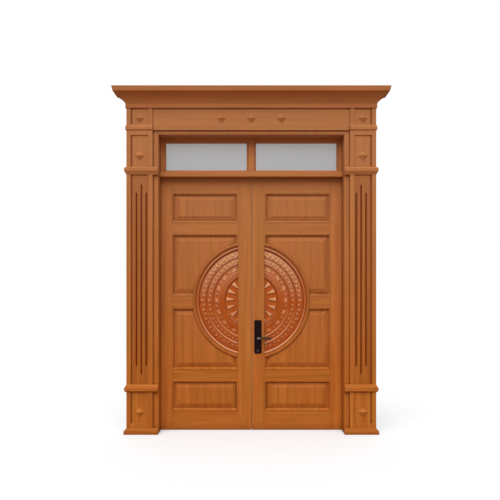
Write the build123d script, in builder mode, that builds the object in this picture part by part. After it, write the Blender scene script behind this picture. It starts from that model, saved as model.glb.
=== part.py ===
from build123d import *
import math
import os

os.makedirs("parts", exist_ok=True)

# A pair of panelled entrance doors, with a transom light, in a moulded surround.
# X runs across the doorway, Y into the building and Z up. The origin is on the floor, midway
# between the jambs, in the plane of the wall face that the surround stands on.

# Doorway
opening_width = 1580  # clear, between the jambs
opening_height = 2200  # floor to the underside of the transom bar
light_height = 303  # transom bar to the underside of the head
bar_height = 40
jamb_width = 45
stop_depth = 71  # wall face to the face that the leaves close against
rebate = 15  # how far a leaf reaches behind the stop
frame_wall = 3  # wall of the hollow frame members
fixing_radius = 5.5  # holes for the wall fixings
fixing_low_share = 0.1  # heights of the four fixings of a jamb
fixing_mid_low_share = 0.36
fixing_mid_high_share = 0.6
fixing_high_share = 0.92

# Transom light
light_stile = 26  # visible face of its frame at the sides
light_rail = 16  # and above and below the glass
mullion_width = 46
bead_width = 18
bead_bevel = 10
bead_sink = 10  # bead face behind the frame face
glass_thickness = 8

# Surround
casing_width = 47
casing_depth = 55
casing_bevel = 8
head_casing = 37
pilaster_width = 222
surround_depth = 80
border_width = 37  # raised strips at the edges of a pilaster
recess_depth = 9
shell_wall = 6  # wall of the hollow surround members
flute_width = 20
flute_depth = 8
flute_spacing = 41.5
flute_shift = 15  # flutes stand nearer to the doorway than the middle of the recess
flute_margin = 72  # from the mouldings to the points of the middle flute
flute_step = 68  # side flutes stop short of the middle one
flute_point = 22  # length of a flute's pointed end
base_height = 53
base_flat = 27
base_projection = 21
plinth_height = 354  # floor to the underside of the plinth cap
band_height = 68
band_projection = 17
band_slope = 30  # long slope of a band
band_round = 14  # short slope of a band
string_rise = 24  # middle of the string course above the frieze's lower edge
string_height = 46
string_projection = 8
strip_height = 45  # plain strip under the string course
frieze_height = 185
bed_height = 34
bed_projection = 7
cove_top = 78  # projection of the cove at its upper end
cove_height = 76
cove_sag = 9
lip_projection = 96
lip_rise = 6
fascia_height = 39
cornice_projection = 105
stud_size = 86  # across the points
stud_projection = 26
stud_rise = 8  # studs of the frieze above its middle
stud_tip = 5
stud_spacing = 255
impost_stud_share = 0.305
plinth_stud_share = 0.46

# Leaves
leaf_thickness = 60
leaf_gap = 4
floor_gap = 4
seal_gap = 4
leaf_wall = 3
meeting_stile = 113
hinge_stile = 106
bottom_rail = 165
top_rail = 138
cross_rail = 96
middle_rail = 104
small_share = 0.327  # share of the panel height that the two small panels take
tongue = 16  # panel thickness at its edges
field_sink = 7  # raised field behind the stile face
bevel_width = 38
moulding_width = 23
moulding_bevel = 15
moulding_proud = 3
cap_depth = 8

# Drum medallion, split between the leaves
drum_width_share = 0.741
drum_height_share = 0.8685
drum_rise = 12  # middle of the drum above that of the middle rail
rim_width = 31
rim_proud = 6
rim_outer_share = 0.3  # where the crest of the rim begins and ends
rim_inner_share = 0.55
rim_dish = 8
rim_groove = 8
drum_sink = 16  # tops of the ridges behind the stile face
drum_groove = 6  # depth of the carved rings between the ridges
crest_rise = 7  # border crest above the ridges
flange_sink = 26
flange_thickness = 14
crest_share = 0.976  # radii, as shares of the drum's
border_share = 0.942
ridge_shares = (0.814, 0.695, 0.555, 0.477)  # middles of the ridges between the rings
ridge_width = 16
ring_a_share = (0.931, 0.834)
ring_b_share = (0.791, 0.7155)
ring_d_share = (0.674, 0.576)
ray_share = (0.455, 0.3)
ray_outer = 30
ray_inner = 8
ray_count = 18
boss_height = 9
boss_taper = 38
boss_a_count = 48
boss_b_count = 40
boss_d_count = 36
boss_length_share = 0.62  # of the ring's width
boss_width_share = 0.52  # of the spacing

# Hinges
hinge_count = 3
hinge_low_share = 0.09
hinge_high_share = 0.91
hinge_length = 100
hinge_plate = 30
hinge_plate_thickness = 5
barrel_radius = 9
barrel_rise = 9.5  # hinge axis behind the leaf
barrel_reach = 10.5  # plates start this far from the axis
knuckle_share = 0.3  # length of each frame knuckle
pin_radius = 5
pin_head_radius = 7
pin_head = 4

# Lock and bolts
backset = 56  # meeting edge to the lever's axis
lever_height = 804
cylinder_drop = 109
bolt_drop = 54
plate_width = 62
plate_height = 289
plate_rise = 11  # middle of the plate above the lever
plate_thickness = 8
plate_round = 8
neck_radius = 10
neck_length = 34
lever_length = 108
lever_thickness = 12
lever_edge = 4  # chamfer around the front of the arm
spindle_size = 8
spindle_grip = 20
spindle_hole = 6.2
case_depth = 82
case_thickness = 20
case_above = 40
case_below = 165
faceplate_width = 26
faceplate_margin = 20
bolt_height = 30
bolt_thickness = 14
bolt_throw = 22
bolt_hold = 38  # stays in the lock when thrown
cylinder_radius = 11
cylinder_proud = 2
core_radius = 7
turn_length = 34
turn_width = 14
turn_height = 16
key_slot_width = 2.5
key_slot_height = 8
key_slot_depth = 6
rod_radius = 5
rod_throw = 20
rod_hold = 10  # stays in the lock when thrown
rod_inset = 2
strike_height = 90
strike_play = 0.6  # around the thrown bolt
flush_radius = 6
flush_throw = 18
flush_length = 210
flush_case_height = 150
flush_case_inset = 40
flush_case_depth = 66
thumb_height = 22
thumb_width = 8

# Seals
stop_seal_width = 10
edge_seal_width = 3
edge_seal_proud = 1.85
sweep_width = 12
sweep_drop = 3

# Fits
fit = 0.3  # clearance around pieces that are let in
running_fit = 0.05  # radial clearance of a turning pin
over = 5  # how far a cutting shape runs past the solid

# Worked out from the above
half_opening = opening_width / 2
jamb_outer = half_opening + jamb_width
rebate_x = half_opening + rebate
leaf_front = stop_depth + seal_gap
leaf_back = leaf_front + leaf_thickness
leaf_middle = leaf_front + leaf_thickness / 2
bar_top = opening_height + bar_height
head_low = bar_top + light_height
head_top = head_low + jamb_width
frieze_low = head_low + head_casing
cornice_low = frieze_low + frieze_height
pilaster_inner = half_opening + casing_width
pilaster_outer = pilaster_inner + pilaster_width
pilaster_middle = (pilaster_inner + pilaster_outer) / 2
recess_front = -surround_depth + recess_depth
leaf_top = opening_height + rebate - leaf_gap
leaf_height = leaf_top - floor_gap
meeting_edge = leaf_gap / 2
meeting_inner = meeting_edge + meeting_stile
hinge_edge = rebate_x - leaf_gap
hinge_inner = hinge_edge - hinge_stile
panel_width = hinge_inner - meeting_inner
panel_x = (hinge_inner + meeting_inner) / 2
panel_height = leaf_height - bottom_rail - top_rail - 2 * cross_rail - middle_rail
small_panel = panel_height * small_share / 2
large_panel = panel_height * (1 - small_share) / 2
bottom_panel_low = floor_gap + bottom_rail
low_cross = bottom_panel_low + small_panel
lower_panel_low = low_cross + cross_rail
middle_low = lower_panel_low + large_panel
upper_panel_low = middle_low + middle_rail
high_cross = upper_panel_low + large_panel
top_panel_low = high_cross + cross_rail
top_rail_low = top_panel_low + small_panel
drum_z = middle_low + middle_rail / 2 + drum_rise
rim_radius = min(drum_width_share * hinge_inner, drum_height_share * (large_panel + middle_rail / 2))
drum_radius = rim_radius - rim_width
hinge_x = rebate_x - leaf_gap / 2
hinge_y = leaf_back + barrel_rise
lever_x = meeting_edge + backset
cylinder_z = lever_height - cylinder_drop
bolt_length = bolt_throw + bolt_hold
rod_grip = rod_throw + rod_hold
bolt_z = lever_height - bolt_drop
case_top = lever_height + case_above
case_low = lever_height - case_below
sides = (("left", -1), ("right", 1))


def save(piece, name):
    """Label a finished piece and write it as one node."""
    piece.part.label = name
    export_step(piece.part, f"parts/{name}.step")


def along(sign, low, high):
    """The lower end, on the X axis, of a length that runs from low to high on one side."""
    return low if sign > 0 else -high


# Jambs: hollow lengths with a rebate for the leaf and holes for the wall fixings
fixing_heights = [
    head_top * share
    for share in (fixing_low_share, fixing_mid_low_share, fixing_mid_high_share, fixing_high_share)
]
for side, sign in sides:
    with BuildPart() as jamb:
        with BuildSketch():
            with BuildLine():
                Polyline(
                    (sign * half_opening, 0),
                    (sign * jamb_outer, 0),
                    (sign * jamb_outer, leaf_back),
                    (sign * rebate_x, leaf_back),
                    (sign * rebate_x, stop_depth),
                    (sign * half_opening, stop_depth),
                    close=True,
                )
            make_face()
            offset(amount=-frame_wall, kind=Kind.INTERSECTION, mode=Mode.SUBTRACT)
        extrude(amount=head_top)
        with BuildSketch(Plane.YZ.offset(along(sign, half_opening, jamb_outer) - over)):
            with Locations(*[(stop_depth / 2, z) for z in fixing_heights]):
                Circle(fixing_radius)
        extrude(amount=jamb_width + 2 * over, mode=Mode.SUBTRACT)
    save(jamb, f"{side}_jamb")

# Head and transom bar: hollow lengths between the jambs, notched around the stops
for bar_name, low, high in (("frame_head", head_low, head_top), ("transom_bar", opening_height, bar_top)):
    with BuildPart() as bar:
        with BuildSketch(Plane.YZ.offset(-rebate_x)):
            with BuildLine():
                Polyline(
                    (0, low),
                    (stop_depth, low),
                    (stop_depth, low + rebate),
                    (leaf_back, low + rebate),
                    (leaf_back, high),
                    (0, high),
                    close=True,
                )
            make_face()
            offset(amount=-frame_wall, kind=Kind.INTERSECTION, mode=Mode.SUBTRACT)
        extrude(amount=2 * rebate_x)
        with BuildSketch(Plane.XY.offset(low - over)):
            with Locations(*[(sign * rebate_x, (stop_depth - over) / 2) for _, sign in sides]):
                Rectangle(2 * rebate, stop_depth + over)
        extrude(amount=high - low + 2 * over, mode=Mode.SUBTRACT)
        if bar_name == "transom_bar":
            # sockets for the upper rod and the upper flush bolt
            with BuildSketch(Plane.XY.offset(low + rebate - over)):
                with Locations((lever_x, leaf_middle)):
                    Circle(rod_radius + fit)
                with Locations((-lever_x, leaf_middle)):
                    Circle(flush_radius + fit)
            extrude(amount=over + frame_wall + fit, mode=Mode.SUBTRACT)
    save(bar, bar_name)

# Transom light: a frame in the rebate, a mullion, two panes and the beads that hold them
light_outer = rebate_x - fit
light_low = bar_top + fit
light_high = head_low + rebate - fit
light_inner = half_opening - light_stile
glass_low = bar_top + light_rail
glass_high = head_low - light_rail
light_middle = (glass_low + glass_high) / 2
pane_middle = (light_inner + mullion_width / 2) / 2
pane_width = light_inner - mullion_width / 2
pane_height = glass_high - glass_low
with BuildPart() as transom_frame:
    with BuildSketch(Plane.XZ.offset(-leaf_back)):
        with Locations((0, (light_low + light_high) / 2)):
            Rectangle(2 * light_outer, light_high - light_low)
        with Locations((0, light_middle)):
            Rectangle(2 * light_inner, pane_height, mode=Mode.SUBTRACT)
    extrude(amount=leaf_thickness)
save(transom_frame, "transom_frame")

with BuildPart() as transom_mullion:
    with BuildSketch(Plane.XZ.offset(-leaf_back)):
        with Locations((0, light_middle)):
            Rectangle(mullion_width, pane_height)
    extrude(amount=leaf_thickness)
save(transom_mullion, "transom_mullion")

with BuildPart() as glass_panes:
    with BuildSketch(Plane.XZ.offset(-(leaf_middle + glass_thickness / 2))):
        with Locations((-pane_middle, light_middle), (pane_middle, light_middle)):
            Rectangle(pane_width - 2 * fit, pane_height - 2 * fit)
    extrude(amount=glass_thickness)
save(glass_panes, "glass_panes")

bead_depth = leaf_thickness / 2 - glass_thickness / 2 - bead_sink
bead_taper = math.degrees(math.atan(bead_bevel / bead_depth))
with BuildPart() as glazing_beads:
    for _, sign in sides:
        for facing in (-1, 1):
            inner_y = leaf_middle + facing * glass_thickness / 2
            outer_y = inner_y + facing * bead_depth
            with BuildSketch(Plane.XZ.offset(-max(inner_y, outer_y))):
                with Locations((sign * pane_middle, light_middle)):
                    Rectangle(pane_width, pane_height)
            extrude(amount=bead_depth)
            bead_face = Plane((sign * pane_middle, outer_y, light_middle), (1, 0, 0), (0, -facing, 0))
            with BuildSketch(bead_face):
                Rectangle(
                    pane_width - 2 * bead_width + 2 * bead_bevel,
                    pane_height - 2 * bead_width + 2 * bead_bevel,
                )
            extrude(amount=bead_depth, taper=bead_taper, mode=Mode.SUBTRACT)
save(glazing_beads, "glazing_beads")

# Pilasters: hollow lengths of one section, with raised strips at both edges
with BuildSketch() as pilaster_section:
    with BuildLine():
        Polyline(
            (pilaster_inner, 0),
            (pilaster_outer, 0),
            (pilaster_outer, -surround_depth),
            (pilaster_outer - border_width, -surround_depth),
            (pilaster_outer - border_width, recess_front),
            (pilaster_inner + border_width, recess_front),
            (pilaster_inner + border_width, -surround_depth),
            (pilaster_inner, -surround_depth),
            close=True,
        )
    make_face()
    with Locations((pilaster_middle, (recess_front + flute_depth) / 2)):
        Rectangle(
            pilaster_width - 2 * shell_wall,
            -recess_front - flute_depth - 2 * shell_wall,
            mode=Mode.SUBTRACT,
        )
    mirror(about=Plane.YZ)

shaft_low = plinth_height + band_height
shaft_high = opening_height
shaft_middle = (shaft_low + shaft_high) / 2
with BuildPart() as pilaster_shafts:
    with BuildSketch(Plane.XY.offset(shaft_low)):
        add(pilaster_section.sketch)
    extrude(amount=shaft_high - shaft_low)
    # each flute is a V that runs out to a point at both ends
    for _, sign in sides:
        for place in (-1, 0, 1):
            flute_x = sign * (pilaster_middle - flute_shift + place * flute_spacing)
            flute_half = (shaft_high - shaft_low) / 2 - flute_margin - abs(place) * flute_step
            with BuildSketch(Plane.XY.offset(shaft_middle - flute_half + flute_point)):
                with BuildLine():
                    Polyline(
                        (flute_x - flute_width / 2, recess_front),
                        (flute_x + flute_width / 2, recess_front),
                        (flute_x, recess_front + flute_depth),
                        close=True,
                    )
                make_face()
            extrude(amount=2 * (flute_half - flute_point), mode=Mode.SUBTRACT)
            for end in (-1, 1):
                tip = Vertex(flute_x, recess_front, shaft_middle + end * flute_half)
                with BuildSketch(Plane.XY.offset(shaft_middle + end * (flute_half - flute_point))) as mouth:
                    with BuildLine():
                        Polyline(
                            (flute_x - flute_width / 2, recess_front),
                            (flute_x + flute_width / 2, recess_front),
                            (flute_x, recess_front + flute_depth),
                            close=True,
                        )
                    make_face()
                loft(sections=[mouth.sketch.faces()[0], tip], mode=Mode.SUBTRACT)
save(pilaster_shafts, "pilaster_shafts")

with BuildPart() as plinths:
    with BuildSketch(Plane.XY.offset(base_height)):
        add(pilaster_section.sketch)
    extrude(amount=plinth_height - base_height)
    # the recess stops above the base
    with BuildSketch(Plane.XY.offset(base_height)):
        with Locations(*[(sign * pilaster_middle, recess_front - recess_depth / 2) for _, sign in sides]):
            Rectangle(pilaster_width - 2 * border_width, recess_depth)
    extrude(amount=border_width)
save(plinths, "plinths")

# End blocks above the capitals, with a string course across the front and the outer side
string_middle = frieze_low + string_rise
string_low = string_middle - string_height / 2
impost_low = opening_height + band_height
with BuildPart() as end_blocks:
    with BuildSketch(Plane.XY.offset(impost_low)):
        add(pilaster_section.sketch)
    extrude(amount=cornice_low - impost_low)
    # the lower recess stops under a plain strip below the string course
    with BuildSketch(Plane.XY.offset(string_low - strip_height)):
        with Locations(*[(sign * pilaster_middle, recess_front - recess_depth / 2) for _, sign in sides]):
            Rectangle(pilaster_width - 2 * border_width, recess_depth)
    extrude(amount=strip_height)
    for low, high, low_projection, high_projection in (
        (string_low, string_middle, string_projection, string_projection),
        (string_middle, string_low + string_height, string_projection, 0),
    ):
        for _, sign in sides:
            for z, projection in ((low, low_projection), (high, high_projection)):
                with BuildSketch(Plane.XY.offset(z)):
                    with BuildLine():
                        Polyline(
                            (sign * pilaster_inner, recess_front),
                            (sign * pilaster_inner, -surround_depth - projection),
                            (sign * (pilaster_outer + projection), -surround_depth - projection),
                            (sign * (pilaster_outer + projection), 0),
                            (sign * (pilaster_outer - shell_wall), 0),
                            (sign * (pilaster_outer - shell_wall), recess_front),
                            close=True,
                        )
                    make_face()
            loft(ruled=True)
save(end_blocks, "end_blocks")

# Mouldings that wrap the pilasters and the front of the casing: flared bases, plinth caps, capitals
band_flat = band_height - band_slope - band_round
cap_flat_low = plinth_height + band_round
cap_flat_high = cap_flat_low + band_flat
capital_flat_low = opening_height + band_slope
capital_flat_high = capital_flat_low + band_flat
wrap_stretches = (
    (0, base_flat, base_projection, base_projection),
    (base_flat, base_height, base_projection, 0),
    (plinth_height, cap_flat_low, 0, band_projection),
    (cap_flat_low, cap_flat_high, band_projection, band_projection),
    (cap_flat_high, shaft_low, band_projection, 0),
    (opening_height, capital_flat_low, 0, band_projection),
    (capital_flat_low, capital_flat_high, band_projection, band_projection),
    (capital_flat_high, impost_low, band_projection, 0),
)
with BuildPart() as pilaster_mouldings:
    for low, high, low_projection, high_projection in wrap_stretches:
        for _, sign in sides:
            for z, projection in ((low, low_projection), (high, high_projection)):
                with BuildSketch(Plane.XY.offset(z)):
                    with BuildLine():
                        Polyline(
                            (sign * half_opening, -casing_depth),
                            (sign * half_opening, -surround_depth - projection),
                            (sign * (pilaster_outer + projection), -surround_depth - projection),
                            (sign * (pilaster_outer + projection), 0),
                            (sign * pilaster_inner, 0),
                            (sign * pilaster_inner, -casing_depth),
                            close=True,
                        )
                    make_face()
            loft(ruled=True)
save(pilaster_mouldings, "pilaster_mouldings")

# Frieze board between the end blocks
with BuildPart() as frieze_board:
    with BuildSketch(Plane.YZ.offset(-pilaster_inner)):
        with Locations((recess_front / 2, frieze_low + frieze_height / 2)):
            Rectangle(-recess_front, frieze_height)
            Rectangle(-recess_front - 2 * shell_wall, frieze_height - 2 * shell_wall, mode=Mode.SUBTRACT)
    extrude(amount=2 * pilaster_inner)
save(frieze_board, "frieze_board")

# Cornice: bed fillet, cove and fascia, mitred around both ends. Its section is drawn as projection
# from the pilaster face against height.
cove_low = cornice_low + bed_height
cove_high = cove_low + cove_height
lip_z = cove_high + lip_rise
cornice_top = lip_z + fascia_height
cove_run = cove_top - bed_projection
cove_chord = math.hypot(cove_run, cove_height)
cove_mid = (
    (bed_projection + cove_top) / 2 - cove_sag * cove_height / cove_chord,
    (cove_low + cove_high) / 2 + cove_sag * cove_run / cove_chord,
)
with BuildSketch() as cornice_section:
    with BuildLine():
        Polyline((-surround_depth, cornice_low), (bed_projection, cornice_low), (bed_projection, cove_low))
        ThreePointArc((bed_projection, cove_low), cove_mid, (cove_top, cove_high))
        Polyline(
            (cove_top, cove_high),
            (lip_projection, lip_z),
            (cornice_projection, cornice_top),
            (-surround_depth, cornice_top),
            (-surround_depth, cornice_low),
        )
    make_face()

cornice_half = pilaster_outer + cornice_projection
cornice_plane = Plane(origin=(cornice_half, -surround_depth, 0), x_dir=(0, -1, 0), z_dir=(-1, 0, 0))
with BuildPart() as cornice:
    with BuildSketch(cornice_plane):
        add(cornice_section.sketch)
    extrude(amount=2 * cornice_half)
    with BuildSketch(Plane.XZ.offset(-over)):
        add(Pos(pilaster_outer, 0) * cornice_section.sketch)
        mirror(about=Plane.YZ)
        with Locations((0, (cornice_low + cornice_top) / 2)):
            Rectangle(2 * pilaster_outer, cornice_top - cornice_low)
    extrude(amount=surround_depth + cornice_projection + 2 * over, mode=Mode.INTERSECT)
    # hollow behind the mouldings, open to the wall
    with BuildSketch(Plane.XZ.offset(-over)):
        with Locations((0, (cornice_low + cornice_top) / 2)):
            Rectangle(2 * (pilaster_outer - shell_wall), cornice_top - cornice_low - 2 * shell_wall)
    extrude(amount=surround_depth - shell_wall + over, mode=Mode.SUBTRACT)
save(cornice, "cornice")

# Diamond studs on the frieze, the end blocks and the plinths
stud_middle = frieze_low + frieze_height / 2 + stud_rise
stud_places = [(place * stud_spacing, stud_middle) for place in (-1, 0, 1)]
for _, sign in sides:
    stud_places.append((sign * pilaster_middle, stud_middle))
    stud_places.append((sign * pilaster_middle, impost_low + impost_stud_share * (string_low - impost_low)))
    stud_places.append((sign * pilaster_middle, plinth_stud_share * (plinth_height + base_height)))
stud_side = stud_size / math.sqrt(2)
stud_taper = math.degrees(math.atan((stud_side - stud_tip) / 2 / stud_projection))
with BuildPart() as diamond_studs:
    with BuildSketch(Plane.XZ.offset(-recess_front)):
        with Locations(*stud_places):
            Rectangle(stud_side, stud_side, rotation=45)
    extrude(amount=stud_projection, taper=stud_taper)
save(diamond_studs, "diamond_studs")

# Casing around the doorway: two sides and a head, bevelled along the doorway
with BuildPart() as casings:
    with BuildSketch(Plane.XZ):
        with Locations((0, frieze_low / 2)):
            Rectangle(2 * pilaster_inner, frieze_low)
        with Locations((0, head_low / 2)):
            Rectangle(opening_width, head_low, mode=Mode.SUBTRACT)
    extrude(amount=casing_depth)
    casing_front = casings.faces().filter_by(Axis.Y).sort_by(Axis.Y)[0]
    doorway_edges = [
        edge
        for edge in casing_front.edges()
        if abs(edge.center().X) < half_opening + fit and fit < edge.center().Z < head_low + fit
    ]
    chamfer(doorway_edges, length=casing_bevel)
    # the head is a separate length between the sides
    with BuildSketch(Plane.XZ.offset(-over)):
        with Locations(*[(sign * (half_opening + fit / 2), frieze_low / 2) for _, sign in sides]):
            Rectangle(fit, frieze_low + 2 * over)
    extrude(amount=casing_depth + 2 * over, mode=Mode.SUBTRACT)
save(casings, "casings")

# Weather seals on the stops
seal_middle = half_opening + rebate / 2
seal_depth = seal_gap - fit
side_seal_top = opening_height + rebate / 2 - stop_seal_width / 2
with BuildPart() as frame_seals:
    with BuildSketch(Plane.XZ.offset(-stop_depth - seal_depth)):
        with Locations(*[(sign * seal_middle, side_seal_top / 2) for _, sign in sides]):
            Rectangle(stop_seal_width, side_seal_top)
        with Locations((0, opening_height + rebate / 2 + fit)):
            Rectangle(2 * seal_middle + stop_seal_width, stop_seal_width)
    extrude(amount=seal_depth)
save(frame_seals, "frame_seals")

# Hinges: frame plates with two knuckles each, leaf plates with one, and headed pins
lowest_hinge = floor_gap + leaf_height * hinge_low_share - hinge_length / 2
hinge_pitch = leaf_height * (hinge_high_share - hinge_low_share) / (hinge_count - 1)
hinge_heights = [lowest_hinge + step * hinge_pitch for step in range(hinge_count)]
plate_y = leaf_back + hinge_plate_thickness / 2
knuckle = hinge_length * knuckle_share
frame_plate = jamb_outer - fit - hinge_x - barrel_reach
with BuildPart() as hinge_frame_plates:
    for _, sign in sides:
        for low in hinge_heights:
            for knuckle_low in (low, low + hinge_length - knuckle):
                with BuildSketch(Plane.XY.offset(knuckle_low)):
                    with Locations((sign * hinge_x, hinge_y)):
                        Circle(barrel_radius)
                    with Locations((sign * (hinge_x + barrel_reach / 2), plate_y)):
                        Rectangle(barrel_reach, hinge_plate_thickness)
                    with Locations((sign * hinge_x, hinge_y)):
                        Circle(pin_radius + running_fit, mode=Mode.SUBTRACT)
                extrude(amount=knuckle)
            with BuildSketch(Plane.XY.offset(low)):
                with Locations((sign * (hinge_x + barrel_reach + frame_plate / 2), plate_y)):
                    Rectangle(frame_plate, hinge_plate_thickness)
            extrude(amount=hinge_length)
save(hinge_frame_plates, "hinge_frame_plates")

with BuildPart() as hinge_pins:
    for low in hinge_heights:
        with BuildSketch(Plane.XY.offset(low)):
            with Locations(*[(sign * hinge_x, hinge_y) for _, sign in sides]):
                Circle(pin_radius)
        extrude(amount=hinge_length)
        with BuildSketch(Plane.XY.offset(low + hinge_length)):
            with Locations(*[(sign * hinge_x, hinge_y) for _, sign in sides]):
                Circle(pin_head_radius)
        extrude(amount=pin_head)
save(hinge_pins, "hinge_pins")

# Places on the meeting edges where plates are let in, as (lower end, upper end)
faceplate_span = (case_low - faceplate_margin, case_top + faceplate_margin)
strike_span = (bolt_z - strike_height / 2, bolt_z + strike_height / 2)
flush_case_spans = (
    (floor_gap + flush_case_inset, floor_gap + flush_case_inset + flush_case_height),
    (leaf_top - flush_case_inset - flush_case_height, leaf_top - flush_case_inset),
)
flush_plate_spans = [(low - faceplate_margin, high + faceplate_margin) for low, high in flush_case_spans]
edge_slots = {"left": [strike_span, *flush_plate_spans], "right": [faceplate_span]}
rod_hole = {"left": flush_radius + fit, "right": rod_radius + fit}

# Carved drum: section of its rings, drawn as radius against depth
drum_face = leaf_front + drum_sink
groove_floor = drum_face + drum_groove
crest_y = drum_face - crest_rise
flange_front = leaf_front + flange_sink
flange_back = flange_front + flange_thickness
drum_edge = drum_radius - fit
flange_radius = drum_radius + rim_groove - fit
relief = []
for ridge_share in ridge_shares:
    ridge_middle = ridge_share * drum_radius
    relief += [
        (ridge_middle + ridge_width / 2, groove_floor),
        (ridge_middle, drum_face),
        (ridge_middle - ridge_width / 2, groove_floor),
    ]
drum_core = meeting_inner - over
with BuildSketch(Plane.XY.offset(drum_z)) as drum_section:
    with BuildLine():
        Polyline(
            (drum_core, flange_back),
            (flange_radius, flange_back),
            (flange_radius, flange_front),
            (drum_edge, flange_front),
            (drum_edge, drum_face),
            (crest_share * drum_radius, crest_y),
            (border_share * drum_radius, groove_floor),
            *relief,
            (drum_core, groove_floor),
            close=True,
        )
    make_face()
with BuildSketch(Plane.XY.offset(drum_z)) as rim_section:
    with BuildLine():
        Polyline(
            (rim_radius, leaf_back),
            (rim_radius, leaf_front),
            (rim_radius - rim_outer_share * rim_width, leaf_front - rim_proud),
            (rim_radius - rim_inner_share * rim_width, leaf_front - rim_proud),
            (drum_radius, leaf_front + rim_dish),
            (drum_radius, flange_front - fit),
            (drum_radius + rim_groove, flange_front - fit),
            (drum_radius + rim_groove, flange_back + fit),
            (drum_radius, flange_back + fit),
            (drum_radius, leaf_back),
            close=True,
        )
    make_face()
drum_axis = Axis((0, 0, drum_z), (0, 1, 0))
# bosses of the carved rings: (ring, count around the whole drum)
boss_rings = ((ring_a_share, boss_a_count), (ring_b_share, boss_b_count), (ring_d_share, boss_d_count))
ray_length = (ray_share[0] - ray_share[1]) * drum_radius
ray_middle = (ray_share[0] + ray_share[1]) / 2 * drum_radius
rim_cut = rim_radius + fit

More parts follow.
